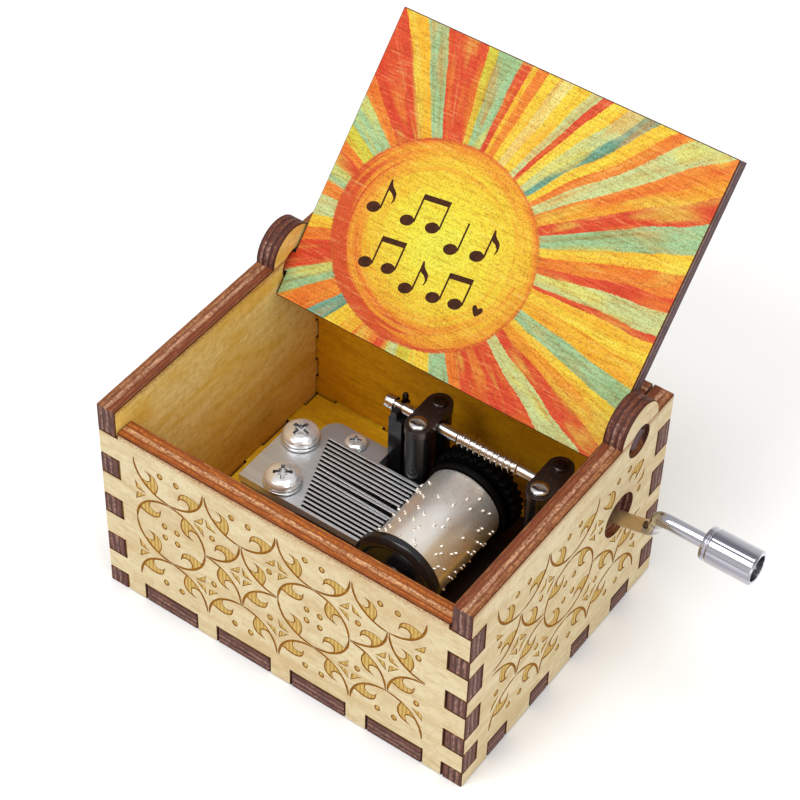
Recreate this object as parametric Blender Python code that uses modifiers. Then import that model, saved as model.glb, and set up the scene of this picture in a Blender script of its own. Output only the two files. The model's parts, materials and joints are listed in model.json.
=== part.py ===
"""Hand-cranked music box: a finger-jointed plywood case, its tilting lid and a comb movement.

Metres, +Z up. The origin is the centre of the case's underside, +X points out of the side with the
crank and -Y out of the front. The lid is modelled tilted open, which is its rest position.
"""

import math

import bmesh
import bpy
from mathutils import Matrix, Vector

MM = 0.001
GAP = 0.2 * MM  # play between glued or stacked pieces
FIT = 0.3 * MM  # play round screws, arbors and shafts

# Case
WIDTH = 64 * MM
DEPTH = 50.4 * MM
WALL_TOP = 38 * MM
FRONT_TOP = 34 * MM
PLY = 3.3 * MM
LEFT, RIGHT = -WIDTH / 2, WIDTH / 2
FRONT, BACK = -DEPTH / 2, DEPTH / 2

# Finger joints. Fingers of the side walls lie between these heights, the other walls' in between.
FINGER_PITCH = 8.62 * MM
FINGER_HEIGHT = 3.7 * MM
TOP_FINGER = 33.1 * MM
LOW_FINGER = 3.1 * MM
BOTTOM_TABS = 4
LONG_TAB, LONG_TAB_PITCH = 9.6 * MM, 13.5 * MM
SHORT_TAB, SHORT_TAB_PITCH = 4.6 * MM, 10.9 * MM

# Lid and its hinge
LID_PIVOT = Vector((0, 16.1 * MM, 36.1 * MM))
LID_WIDTH = 56.8 * MM
LID_LENGTH = 46.5 * MM
LID_TAIL = 5.3 * MM  # from the pivot to the edge below it
LID_LEAN = math.radians(42.5)  # from upright, backwards
LID_TAB = 3.2 * MM
EAR_RADIUS = 4.85 * MM
EAR_HOLE = 2.6 * MM

# Crank shaft, along X
SHAFT_Y, SHAFT_Z = 12.25 * MM, 22.6 * MM
SHAFT_RADIUS = 0.95 * MM
SHAFT_LEFT = -8.4 * MM
SHAFT_RIGHT = 26.2 * MM
HEAD_RADIUS, NECK_RADIUS = 1.15 * MM, 0.65 * MM
NECK_LEFT, NECK_RIGHT = -6.7 * MM, -5.2 * MM
WORM_CENTRE, WORM_LENGTH = 10.1 * MM, 11.4 * MM
WORM_RADIUS = 1.4 * MM
WORM_TURNS = 7.5
THREAD_RADIUS = 0.42 * MM
CRANK_HOLE = 3.6 * MM
CRANK_HOLE_Y, CRANK_HOLE_Z = 12.8 * MM, 23.4 * MM
ROD_RADIUS = 1.1 * MM
ROD_SET = 27.9 * MM  # the rod is bent slightly upwards from here
ELBOW = Vector((38.0, 12.2, 25.0)) * MM
SHOULDER = Vector((40.15, 8.85, 32.2)) * MM
KNOB_START, KNOB_END = 47.7 * MM, 55.8 * MM
ROD_END = KNOB_END - 2.0 * MM
KNOB_RADIUS = 2.6 * MM
KNOB_BORE = 1.35 * MM
KNOB_MOUTH = 2.0 * MM

# Pin cylinder and worm wheel, along Y
DRUM_X, DRUM_Z = 8.4 * MM, 13.5 * MM
DRUM_RADIUS = 6.3 * MM
DRUM_FRONT, DRUM_BACK = -7.4 * MM, 8.8 * MM
PIN_HEIGHT = 0.35 * MM
PIN_RADIUS = 0.22 * MM
PIN_TRACKS = 18
PINS_PER_TRACK = 3
FLANGE_RADIUS = 7.0 * MM
CAP_RADIUS = 7.4 * MM
ARBOR_RADIUS = 0.8 * MM
WHEEL_TEETH = 32
WHEEL_THICKNESS = 2.6 * MM

# Comb
TEETH = 18
COMB_FRONT, COMB_BACK = -7.0 * MM, 7.5 * MM
COMB_TOP = 14 * MM
COMB_THICKNESS = 1.4 * MM
COMB_LEFT = -21.8 * MM
COMB_TIP = 1.45 * MM
ROOT_BACK, ROOT_FRONT = -15.4 * MM, -10.1 * MM
SLOT = 0.28 * MM
COMB_SCREWS = {"rear": (-18.5 * MM, 4.3 * MM), "front": (-15.4 * MM, -4.3 * MM)}
COMB_SCREW_HEAD = 2.85 * MM

# Bedplate and bearings
BED_BOTTOM, BED_TOP = 4.2 * MM, 5.6 * MM
BED_LEFT, BED_RIGHT = -21.4 * MM, 23 * MM
BED_FRONT, BED_BACK = -16.2 * MM, 17.8 * MM
SEAT_TOP = COMB_TOP - COMB_THICKNESS - FIT
SEAT_THICKNESS = 1.8 * MM
BOSSES = ((-12.0 * MM, -13.2 * MM), (19.5 * MM, -12.6 * MM), (-14.5 * MM, 12.0 * MM))
BOSS_RADIUS, BOSS_TOP = 2.5 * MM, 8 * MM
TAB_SCREW = (-12.1 * MM, 9.6 * MM)
BEARINGS = {"left": -0.8 * MM, "right": 20.6 * MM}
BEARING_WALL = 1.9 * MM
POST_RADIUS = 1.95 * MM
POST_SPREAD = 2.75 * MM
CAP_RADIUS_ENDS = 2.1 * MM
CAP_THICKNESS = 1.4 * MM
CAP_SCREW = 0.6 * MM
SHAFT_PLAY = 0.2 * MM

ROUND = 40  # sides of a large circle
SMALL_ROUND = 20  # sides of a screw or a shaft


def clear_scene():
    for obj in list(bpy.data.objects):
        bpy.data.objects.remove(obj, do_unlink=True)


def new_collection(name):
    collection = bpy.data.collections.new(name)
    bpy.context.scene.collection.children.link(collection)
    return collection


def new_material(name, colour, roughness, metallic=0.0):
    material = bpy.data.materials.new(name)
    material.use_nodes = True
    shader = material.node_tree.nodes["Principled BSDF"]
    shader.inputs["Base Color"].default_value = (*colour, 1)
    shader.inputs["Roughness"].default_value = roughness
    shader.inputs["Metallic"].default_value = metallic
    return material


clear_scene()
PARTS = new_collection("music_box")
CUTTERS = new_collection("cutters")
WOOD = new_material("plywood", (0.72, 0.58, 0.41), 0.6)
PAINTED = new_material("painted_plywood", (0.86, 0.5, 0.1), 0.55)
ZINC = new_material("cast_zinc", (0.3, 0.3, 0.32), 0.4, 1.0)
COMB_STEEL = new_material("comb_steel", (0.55, 0.55, 0.56), 0.3, 1.0)
STEEL = new_material("bright_steel", (0.8, 0.8, 0.8), 0.18, 1.0)
NICKEL = new_material("nickel_silver", (0.72, 0.68, 0.6), 0.3, 1.0)
BLACK = new_material("black_plastic", (0.012, 0.012, 0.013), 0.25)
CHROME = new_material("chrome", (0.82, 0.82, 0.85), 0.1, 1.0)
DARK_STEEL = new_material("blackened_steel", (0.05, 0.035, 0.035), 0.35, 1.0)


def mesh_object(name, mesh, material=None, collection=PARTS):
    obj = bpy.data.objects.new(name, mesh)
    collection.objects.link(obj)
    if material:
        mesh.materials.clear()
        mesh.materials.append(material)
    return obj


def from_bmesh(name, bm, material=None, collection=PARTS):
    mesh = bpy.data.meshes.new(name)
    bm.to_mesh(mesh)
    bm.free()
    return mesh_object(name, mesh, material, collection)


def hide_cutter(obj):
    obj.hide_render = True
    obj.display_type = "WIRE"
    return obj


def block(name, low, high, material=None, collection=PARTS):
    """A box between two corners, with its origin at its centre."""
    low, high = Vector(low), Vector(high)
    bm = bmesh.new()
    bmesh.ops.create_cube(bm, size=1)
    bmesh.ops.scale(bm, vec=high - low, verts=bm.verts)
    obj = from_bmesh(name, bm, material, collection)
    obj.location = (low + high) / 2
    return obj


def rod(name, start, end, radius, sides=SMALL_ROUND, material=None, collection=PARTS):
    """A cylinder from one point to another, with its origin halfway."""
    start, end = Vector(start), Vector(end)
    bm = bmesh.new()
    bmesh.ops.create_cone(
        bm,
        cap_ends=True,
        segments=sides,
        radius1=radius,
        radius2=radius,
        depth=(end - start).length,
    )
    obj = from_bmesh(name, bm, material, collection)
    obj.location = (start + end) / 2
    obj.rotation_euler = Vector((0, 0, 1)).rotation_difference(end - start).to_euler()
    return obj


def arc(centre, radius, start, end, count):
    """Points on an arc, angles in degrees."""
    points = []
    for i in range(count):
        angle = math.radians(start + (end - start) * i / (count - 1))
        points.append((centre[0] + radius * math.cos(angle), centre[1] + radius * math.sin(angle)))
    return points


def circle(centre, radius, sides=SMALL_ROUND):
    return arc(centre, radius, 0, 360, sides + 1)[:-1]


def welded(mesh, scale):
    """Join the points that a curve's caps and sides leave double, and merge its flat faces."""
    bm = bmesh.new()
    bm.from_mesh(mesh)
    bmesh.ops.remove_doubles(bm, verts=bm.verts, dist=1e-4)
    bmesh.ops.recalc_face_normals(bm, faces=bm.faces)
    bmesh.ops.dissolve_limit(bm, angle_limit=math.radians(0.1), verts=bm.verts, edges=bm.edges)
    bmesh.ops.scale(bm, vec=(scale, scale, scale), verts=bm.verts)
    bm.to_mesh(mesh)
    bm.free()
    return mesh


def mesh_of_curve(curve):
    """The closed mesh, in metres, of a curve that is drawn in millimetres."""
    source = bpy.data.objects.new(curve.name + "_source", curve)
    CUTTERS.objects.link(source)
    graph = bpy.context.evaluated_depsgraph_get()
    mesh = bpy.data.meshes.new_from_object(source.evaluated_get(graph))
    bpy.data.objects.remove(source, do_unlink=True)
    return welded(mesh, MM)


def without_repeats(points):
    kept = []
    for point in points:
        if not kept or math.dist(point, kept[-1]) > 1e-7:
            kept.append(point)
    return kept[:-1] if math.dist(kept[0], kept[-1]) < 1e-7 else kept


def sheet(name, outlines, thickness, material=None, collection=PARTS):
    """A flat plate in XY, centred on Z = 0: the first outline is its edge, the others are holes."""
    curve = bpy.data.curves.new(name, "CURVE")
    curve.dimensions = "2D"
    curve.fill_mode = "BOTH"
    curve.extrude = thickness / 2 / MM
    for outline in map(without_repeats, outlines):
        spline = curve.splines.new("POLY")
        spline.points.add(len(outline) - 1)
        for point, (x, y) in zip(spline.points, outline):
            point.co = (x / MM, y / MM, 0, 1)
        spline.use_cyclic_u = True
    return mesh_object(name, mesh_of_curve(curve), material, collection)


def turned(name, profile, material=None, sides=SMALL_ROUND, ring=False, collection=PARTS):
    """A profile of (radius, height) points, listed from the top down, turned about Z."""
    bm = bmesh.new()
    verts = [bm.verts.new((radius, 0, height)) for radius, height in profile]
    for first, second in zip(verts, verts[1:]):
        bm.edges.new((first, second))
    if ring:
        bm.edges.new((verts[-1], verts[0]))
    obj = from_bmesh(name, bm, material, collection)
    screw = obj.modifiers.new("turn", "SCREW")
    screw.steps = screw.render_steps = sides
    screw.use_merge_vertices = True
    screw.merge_threshold = 1e-7
    return obj


def boolean(obj, other, operation):
    modifier = obj.modifiers.new(operation.lower(), "BOOLEAN")
    modifier.operation = operation
    modifier.solver = "EXACT"
    modifier.object = other
    return obj


def cut(obj, cutter):
    return boolean(obj, hide_cutter(cutter), "DIFFERENCE")


def join(obj, addition):
    return boolean(obj, hide_cutter(addition), "UNION")


def cutter_rod(name, start, end, radius, sides=SMALL_ROUND):
    return rod(name, start, end, radius, sides, collection=CUTTERS)


def cutter_block(name, low, high):
    return block(name, low, high, collection=CUTTERS)


# Plywood case ---------------------------------------------------------------------------------


def stepped_edge(start, end, steps):
    """Points from start to end. Between two distances along the edge each step moves it sideways,
    to the right of the way it runs when its offset is positive."""
    start, end = Vector(start), Vector(end)
    along = (end - start).normalized()
    across = Vector((along.y, -along.x))
    points = [start]
    for low, high, offset in sorted(steps):
        points += [start + along * low, start + along * low + across * offset]
        points += [start + along * high + across * offset, start + along * high]
    return [tuple(point) for point in points]


def side_wall_fingers():
    """Height ranges of the fingers between the top and the bottom one."""
    tops = [TOP_FINGER - i * FINGER_PITCH - (FINGER_PITCH - FINGER_HEIGHT) for i in range(3)]
    return [(top - FINGER_HEIGHT, top) for top in tops]


def other_wall_fingers():
    """Height ranges of the fingers of the front and back walls."""
    edges = [TOP_FINGER]
    for low, high in side_wall_fingers():
        edges += [high, low]
    edges.append(LOW_FINGER)
    return [(low, high) for high, low in zip(edges[::2], edges[1::2])]


def tab_spans(length, pitch, total):
    """Where the bottom's tabs start and end along a wall of this total length."""
    first = (total - (BOTTOM_TABS - 1) * pitch - length) / 2
    return [(first + i * pitch, first + i * pitch + length) for i in range(BOTTOM_TABS)]


def notches(spans, depth):
    return [(low - GAP / 2, high + GAP / 2, -depth) for low, high in spans]


def tabs(spans, depth):
    return [(low + GAP / 2, high - GAP / 2, depth) for low, high in spans]


def upwards(spans, base):
    """Spans of height as distances along an edge that rises from this height."""
    return [(low - base, high - base) for low, high in spans]


def downwards(spans, top):
    return [(top - high, top - low) for low, high in spans]


def stand_wall(obj, location, turn_z):
    """Turn a plate drawn in XY so that its Y becomes up, then about Z."""
    obj.matrix_world = (
        Matrix.Translation(location)
        @ Matrix.Rotation(turn_z, 4, "Z")
        @ Matrix.Rotation(math.radians(90), 4, "X")
    )


def long_wall(name, top, y):
    """The front or back wall, drawn from the left outer face and from the ground."""
    inset = PLY + GAP
    fingers = other_wall_fingers()
    outline = stepped_edge((inset, 0), (WIDTH - inset, 0), notches(
        [(low - inset, high - inset) for low, high in tab_spans(LONG_TAB, LONG_TAB_PITCH, WIDTH)],
        inset,
    ))
    outline += stepped_edge((WIDTH - inset, 0), (WIDTH - inset, top), tabs(fingers, inset))
    outline += stepped_edge((WIDTH - inset, top), (inset, top), [])
    outline += stepped_edge((inset, top), (inset, 0), tabs(downwards(fingers, top), inset))
    wall = sheet(name, [outline], PLY, WOOD)
    stand_wall(wall, (LEFT, y, 0), 0)
    return wall


def side_wall(name, x, holes):
    """A side wall with its hinge ear, drawn from the front outer face and from the ground."""
    inset = PLY + GAP
    fingers = other_wall_fingers()
    ear = LID_PIVOT.y - FRONT
    outline = stepped_edge((0, 0), (DEPTH, 0), notches(
        tab_spans(SHORT_TAB, SHORT_TAB_PITCH, DEPTH), inset
    ))
    outline += stepped_edge((DEPTH, 0), (DEPTH, WALL_TOP), notches(fingers, inset))
    outline.append((DEPTH, WALL_TOP))
    outline += arc((ear, WALL_TOP), EAR_RADIUS, 0, 180, 17)
    outline += stepped_edge(
        (0, WALL_TOP), (0, 0), notches(downwards(fingers, WALL_TOP), inset)
    )
    pivot_hole = circle((ear, LID_PIVOT.z), EAR_HOLE, ROUND)
    wall = sheet(name, [outline, pivot_hole] + holes, PLY, WOOD)
    stand_wall(wall, (x, FRONT, 0), math.radians(90))
    return wall


def bottom_panel():
    """The bottom, with strips right across it whose ends are its tabs."""
    inset = PLY + GAP
    panel = block(
        "bottom_panel", (LEFT + inset, FRONT + inset, 0), (RIGHT - inset, BACK - inset, PLY), WOOD
    )
    for i, (low, high) in enumerate(tab_spans(LONG_TAB, LONG_TAB_PITCH, WIDTH)):
        start, end = LEFT + low + GAP / 2, LEFT + high - GAP / 2
        join(panel, cutter_block(f"long_tabs_{i}", (start, FRONT, 0), (end, BACK, PLY)))
    for i, (low, high) in enumerate(tab_spans(SHORT_TAB, SHORT_TAB_PITCH, DEPTH)):
        start, end = FRONT + low + GAP / 2, FRONT + high - GAP / 2
        join(panel, cutter_block(f"short_tabs_{i}", (LEFT, start, 0), (RIGHT, end, PLY)))
    for i, (x, y) in enumerate(BOSSES):
        hole = turned(
            f"screw_hole_{i}",
            [(0, PLY + MM), (1.4 * MM, PLY + MM), (1.4 * MM, 1.7 * MM), (2.7 * MM, 0.3 * MM),
             (2.7 * MM, -MM), (0, -MM)],
            collection=CUTTERS,
        )
        hole.location = (x, y, 0)
        cut(panel, hole)
    return panel


def lid():
    """The lid with its two hinge tabs, drawn flat about the pivot and then swung open."""
    half, tab = LID_WIDTH / 2, LID_TAB / 2
    reach = WIDTH / 2 - 0.5 * MM
    head = LID_LENGTH - LID_TAIL
    outline = [
        (half, -LID_TAIL), (half, -tab), (reach, -tab), (reach, tab), (half, tab), (half, head),
        (-half, head), (-half, tab), (-reach, tab), (-reach, -tab), (-half, -tab), (-half, -LID_TAIL),
    ]
    panel = sheet("lid", [outline], LID_TAB, PAINTED)
    panel.matrix_world = Matrix.Translation(LID_PIVOT) @ Matrix.Rotation(
        math.radians(90) - LID_LEAN, 4, "X"
    )
    return panel


def case():
    long_wall("front_panel", FRONT_TOP, FRONT + PLY / 2)
    long_wall("back_panel", WALL_TOP, BACK - PLY / 2)
    side_wall("left_panel", LEFT + PLY / 2, [])
    crank_hole = circle((CRANK_HOLE_Y - FRONT, CRANK_HOLE_Z), CRANK_HOLE, ROUND)
    side_wall("right_panel", RIGHT - PLY / 2, [crank_hole])
    bottom_panel()
    lid()


# Movement: frame and comb ---------------------------------------------------------------------


def bearing_lug(name, y_low, y_high):
    """An upright with a round top that carries one end of the cylinder's arbor."""
    half = 2.6 * MM
    outline = [(-half, BED_TOP - 0.5 * MM), (half, BED_TOP - 0.5 * MM)]
    outline += arc((0, DRUM_Z), half, 0, 180, 13)
    lug = sheet(name, [outline], y_high - y_low, collection=CUTTERS)
    stand_wall(lug, (DRUM_X, (y_low + y_high) / 2, 0), 0)
    return lug


def comb_seat():
    """The raised platform under the comb, with the rounded tab behind it."""
    lobe_left, lobe_right, lobe_back = -18.2 * MM, -7.1 * MM, 11.9 * MM
    tab_front = COMB_BACK + 0.2 * MM
    outline = [
        (COMB_LEFT + 0.3 * MM, COMB_FRONT + 0.2 * MM),
        (ROOT_FRONT - 0.8 * MM, COMB_FRONT + 0.2 * MM),
        (ROOT_BACK - 0.6 * MM, tab_front),
        (lobe_right, tab_front),
        (lobe_right, lobe_back),
    ]
    outline += arc((lobe_left + 2.4 * MM, lobe_back - 2.4 * MM), 2.4 * MM, 90, 180, 7)
    outline += [(lobe_left, tab_front - 0.5 * MM), (COMB_LEFT + 0.3 * MM, 3.8 * MM)]
    seat = sheet("comb_seat", [outline], SEAT_THICKNESS, collection=CUTTERS)
    seat.location.z = SEAT_TOP - SEAT_THICKNESS / 2
    return seat


def bedplate():
    """The cast frame: base, feet, comb platform on its pedestals and the two arbor lugs."""
    bed = block(
        "bedplate", (BED_LEFT, BED_FRONT, BED_BOTTOM), (BED_RIGHT, BED_BACK, BED_TOP), ZINC
    )
    low, high = BED_TOP - 0.5 * MM, SEAT_TOP - SEAT_THICKNESS + 0.5 * MM
    additions = [
        comb_seat(),
        cutter_block("pedestal", (-20.6 * MM, -6.2 * MM, low), (-16.8 * MM, 3.2 * MM, high)),
        cutter_block("pedestal_foot", (-17 * MM, -6.2 * MM, low), (-12.6 * MM, -2.2 * MM, high)),
        cutter_block("tab_pedestal", (-17.6 * MM, 8.6 * MM, low), (-8.4 * MM, 11.2 * MM, high)),
        bearing_lug("lug_front", -12.6 * MM, -10.8 * MM),
        bearing_lug("lug_rear", 15.6 * MM, 17.2 * MM),
    ]
    for i, (x, y) in enumerate(BOSSES):
        additions.append(
            cutter_rod(f"boss_{i}", (x, y, PLY + FIT), (x, y, BOSS_TOP), BOSS_RADIUS, 16)
        )
    for addition in additions:
        join(bed, addition)
    cut(bed, cutter_block(
        "bed_corner", (BED_LEFT - MM, 14.7 * MM, 0), (-10.6 * MM, BED_BACK + MM, BED_TOP + MM)
    ))
    cut(bed, cutter_rod(
        "arbor_bore", (DRUM_X, -14 * MM, DRUM_Z), (DRUM_X, 18 * MM, DRUM_Z), ARBOR_RADIUS + FIT
    ))
    for i, (x, y) in enumerate(BOSSES):
        cut(bed, cutter_rod(f"boss_bore_{i}", (x, y, 0), (x, y, 7.4 * MM), 1.1 * MM + FIT, 14))
    for name, (x, y) in COMB_SCREWS.items():
        cut(bed, cutter_rod(
            f"comb_thread_{name}", (x, y, 8 * MM), (x, y, COMB_TOP), 1.1 * MM + FIT, 14
        ))
    x, y = TAB_SCREW
    cut(bed, cutter_rod("tab_thread", (x, y, 9.0 * MM), (x, y, COMB_TOP), 0.7 * MM + FIT, 10))
    return bed


def comb():
    """Steel comb: long bass teeth at the rear, short treble teeth at the front."""
    pitch = (COMB_BACK - COMB_FRONT) / TEETH
    outline = [(COMB_LEFT, COMB_FRONT), (COMB_TIP, COMB_FRONT)]
    for i in range(1, TEETH):
        y = COMB_FRONT + i * pitch
        root = ROOT_FRONT + (ROOT_BACK - ROOT_FRONT) * i / TEETH
        outline += [
            (COMB_TIP, y - SLOT / 2), (root, y - SLOT / 2), (root, y + SLOT / 2),
            (COMB_TIP, y + SLOT / 2),
        ]
    outline += [
        (COMB_TIP, COMB_BACK), (-18.8 * MM, COMB_BACK), (-20.8 * MM, 6.4 * MM),
        (COMB_LEFT, 4.2 * MM),
    ]
    holes = [circle(place, 1.1 * MM + FIT) for place in COMB_SCREWS.values()]
    plate = sheet("comb", [outline] + holes, COMB_THICKNESS, COMB_STEEL)
    plate.location.z = COMB_TOP - COMB_THICKNESS / 2
    return plate


def pan_screw(name, place, seat, head_radius, head_height, shank_radius, length, material,
              recess=0.0, sides=SMALL_ROUND):
    """A pan-head screw standing on the height of its seat, with a cross recess if one is wanted."""
    top = head_height
    profile = [
        (0, top), (head_radius * 0.55, top * 0.96), (head_radius * 0.86, top * 0.72),
        (head_radius, top * 0.36), (head_radius, 0), (shank_radius, 0),
        (shank_radius, -length + 0.4 * shank_radius), (0.6 * shank_radius, -length), (0, -length),
    ]
    screw = turned(name, profile, material, sides)
    screw.location = (*place, seat)
    if recess:
        arm, width = head_radius * 0.62, head_radius * 0.17
        cross = [
            (arm, -width), (arm, width), (width, width), (width, arm), (-width, arm),
            (-width, width), (-arm, width), (-arm, -width), (-width, -width), (-width, -arm),
            (width, -arm), (width, -width),
        ]
        cutter = sheet(name + "_recess", [cross], 2 * recess, collection=CUTTERS)
        cutter.location = (*place, seat + top)
        cutter.rotation_euler.z = math.radians(25)
        cut(screw, cutter)
    return screw


def comb_fixings():
    washer_thickness = 0.4 * MM
    for name, place in COMB_SCREWS.items():
        low = COMB_TOP + GAP
        washer = turned(
            f"comb_washer_{name}",
            [(3.0 * MM, washer_thickness), (3.0 * MM, 0), (1.5 * MM, 0), (1.5 * MM, washer_thickness)],
            STEEL, 24, ring=True,
        )
        washer.location = (*place, low)
        pan_screw(
            f"comb_screw_{name}", place, low + washer_thickness + GAP, COMB_SCREW_HEAD, 1.6 * MM,
            1.1 * MM, 4.6 * MM, STEEL, recess=0.8 * MM, sides=24,
        )
    pan_screw(
        "bedplate_tab_screw", TAB_SCREW, SEAT_TOP + GAP, 1.75 * MM, 1.0 * MM, 0.7 * MM, 2.6 * MM,
        STEEL, recess=0.5 * MM, sides=14,
    )


def mounting_screws():
    """Countersunk screws from under the case into the bedplate's feet."""
    for i, place in enumerate(BOSSES, 1):
        profile = [
            (0, 7.0 * MM), (0.6 * MM, 7.0 * MM), (1.1 * MM, 6.3 * MM), (1.1 * MM, 1.45 * MM),
            (2.35 * MM, 0.3 * MM), (2.35 * MM, 0.1 * MM), (0, 0.1 * MM),
        ]
        screw = turned(f"mounting_screw_{i}", profile, STEEL, 14)
        screw.location = (*place, 0)
        slot = cutter_block(
            f"mounting_slot_{i}",
            (place[0] - 1.6 * MM, place[1] - 0.25 * MM, -MM),
            (place[0] + 1.6 * MM, place[1] + 0.25 * MM, 0.7 * MM),
        )
        cut(screw, slot)


# Movement: bearings, shaft and crank ----------------------------------------------------------


def bearing_block(name, x):
    """A black upright on the bedplate: a web between two round posts, with the shaft's saddle on top."""
    foot = BED_TOP + GAP
    low = (x - BEARING_WALL / 2, SHAFT_Y - POST_SPREAD, foot)
    high = (x + BEARING_WALL / 2, SHAFT_Y + POST_SPREAD, SHAFT_Z)
    upright = block(name, low, high, BLACK)
    for i, y in enumerate((SHAFT_Y - POST_SPREAD, SHAFT_Y + POST_SPREAD)):
        join(upright, cutter_rod(
            f"{name}_post_{i}", (x, y, foot), (x, y, SHAFT_Z), POST_RADIUS
        ))
        cut(upright, cutter_rod(
            f"{name}_bore_{i}", (x, y, 19 * MM), (x, y, 30 * MM), CAP_SCREW + 0.15 * MM, 10
        ))
    return cut(upright, shaft_groove(name, x))


def shaft_groove(name, x):
    """The bore for the shaft, half in a bearing block and half in its cap."""
    reach = CAP_RADIUS_ENDS + MM
    return cutter_rod(
        f"{name}_groove", (x - reach, SHAFT_Y, SHAFT_Z), (x + reach, SHAFT_Y, SHAFT_Z),
        SHAFT_RADIUS + SHAFT_PLAY, 16,
    )


def bearing_cap(name, x):
    """The strap over the shaft, with round ends."""
    ends = CAP_RADIUS_ENDS
    outline = arc((0, POST_SPREAD), ends, 0, 180, 11) + arc((0, -POST_SPREAD), ends, 180, 360, 11)
    holes = [circle((0, side * POST_SPREAD), CAP_SCREW + 0.15 * MM, 10) for side in (-1, 1)]
    cap = sheet(name, [outline] + holes, CAP_THICKNESS, BLACK)
    cap.location = (x, SHAFT_Y, SHAFT_Z + GAP + CAP_THICKNESS / 2)
    return cut(cap, shaft_groove(name, x))


def bearings():
    seat = SHAFT_Z + GAP + CAP_THICKNESS + 0.1 * MM
    for side, x in BEARINGS.items():
        bearing_block(f"bearing_block_{side}", x)
        bearing_cap(f"bearing_cap_{side}", x)
        for place, y, radius, metal in (
            ("front", -POST_SPREAD, 1.4 * MM, STEEL), ("rear", POST_SPREAD, 1.2 * MM, DARK_STEEL)
        ):
            pan_screw(
                f"cap_screw_{side}_{place}", (x, SHAFT_Y + y), seat, radius, 0.5 * MM,
                CAP_SCREW, 4.6 * MM, metal, sides=14,
            )
    end_post()


def end_post():
    """The slim post at the shaft's end, whose fork holds the shaft's neck, and its locating peg."""
    left, right = NECK_LEFT - 0.1 * MM, NECK_RIGHT + 0.8 * MM
    front, back = SHAFT_Y - 1.8 * MM, SHAFT_Y + 1.8 * MM
    shoulder = SHAFT_Z - HEAD_RADIUS - FIT
    post = block("end_post", (left, front, BED_TOP + GAP), (right, back, shoulder), BLACK)
    join(post, cutter_block(
        "end_fork", (NECK_LEFT + GAP, front, 20 * MM), (NECK_RIGHT - GAP, back, SHAFT_Z)
    ))
    join(post, cutter_block(
        "end_wall", (left, back - 1.4 * MM, BED_TOP + GAP),
        (BEARINGS["left"] - POST_RADIUS - GAP, back, 19 * MM),
    ))
    cut(post, cutter_rod(
        "end_saddle", (left - MM, SHAFT_Y, SHAFT_Z), (right + MM, SHAFT_Y, SHAFT_Z),
        NECK_RADIUS + 0.15 * MM,
    ))
    middle = (NECK_LEFT + NECK_RIGHT) / 2
    peg_y = SHAFT_Y + 1.3 * MM
    peg = turned(
        "end_post_peg",
        [(0, 1.5 * MM), (0.35 * MM, 1.35 * MM), (0.5 * MM, 0.9 * MM), (0.5 * MM, 0), (0.3 * MM, 0),
         (0.3 * MM, -1.2 * MM), (0, -1.2 * MM)],
        DARK_STEEL, 14,
    )
    peg.location = (middle, peg_y, SHAFT_Z + GAP)
    cut(post, cutter_rod(
        "peg_bore", (middle, peg_y, SHAFT_Z - 1.4 * MM), (middle, peg_y, 30 * MM), 0.4 * MM, 12
    ))


def worm_shaft():
    """The steel shaft with its end groove, worm thread and threaded socket for the crank."""
    start, end = SHAFT_LEFT, SHAFT_RIGHT
    radius = SHAFT_RADIUS
    length = end - start
    neck_start, neck_end = NECK_LEFT - start, NECK_RIGHT - start
    profile = [
        (0, length), (0.5 * radius, length), (radius, length - 0.3 * MM), (radius, neck_end),
        (NECK_RADIUS, neck_end), (NECK_RADIUS, neck_start), (HEAD_RADIUS, neck_start),
        (HEAD_RADIUS, 0.2 * MM), (HEAD_RADIUS - 0.2 * MM, 0), (0, 0),
    ]
    shaft = turned("worm_shaft", profile, STEEL)
    shaft.rotation_euler.y = math.radians(90)
    shaft.location = (start, SHAFT_Y, SHAFT_Z)
    thread = bpy.data.curves.new("worm_thread", "CURVE")
    thread.dimensions = "3D"
    thread.bevel_depth = THREAD_RADIUS / MM
    thread.bevel_resolution = 0
    thread.use_fill_caps = True
    count = round(WORM_TURNS * 14) + 1
    spline = thread.splines.new("POLY")
    spline.points.add(count - 1)
    middle = (WORM_RADIUS - THREAD_RADIUS) / MM
    for i, point in enumerate(spline.points):
        angle = 2 * math.pi * i / 14
        x = WORM_LENGTH / MM * (i / (count - 1) - 0.5)
        point.co = (x, middle * math.cos(angle), middle * math.sin(angle), 1)
    coil = mesh_object("worm_thread", mesh_of_curve(thread), None, CUTTERS)
    coil.location = (WORM_CENTRE, SHAFT_Y, SHAFT_Z)
    return join(shaft, coil)


def radius_with_play(radius):
    return radius + 0.15 * MM


def shaft_coupler():
    """The sleeve that joins the worm shaft to the crank rod."""
    bore_small, bore_large = radius_with_play(SHAFT_RADIUS), radius_with_play(ROD_RADIUS)
    length = 4.3 * MM
    profile = [
        (2.0 * MM, length), (2.3 * MM, length - 0.3 * MM), (2.3 * MM, 0.3 * MM), (2.0 * MM, 0),
        (bore_small, 0), (bore_small, 0.9 * MM), (bore_large, 0.9 * MM), (bore_large, length),
    ]
    coupler = turned("shaft_coupler", profile, STEEL, 16, ring=True)
    coupler.rotation_euler.y = math.radians(90)
    coupler.location = (23.1 * MM, SHAFT_Y, SHAFT_Z)
    return coupler


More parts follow.
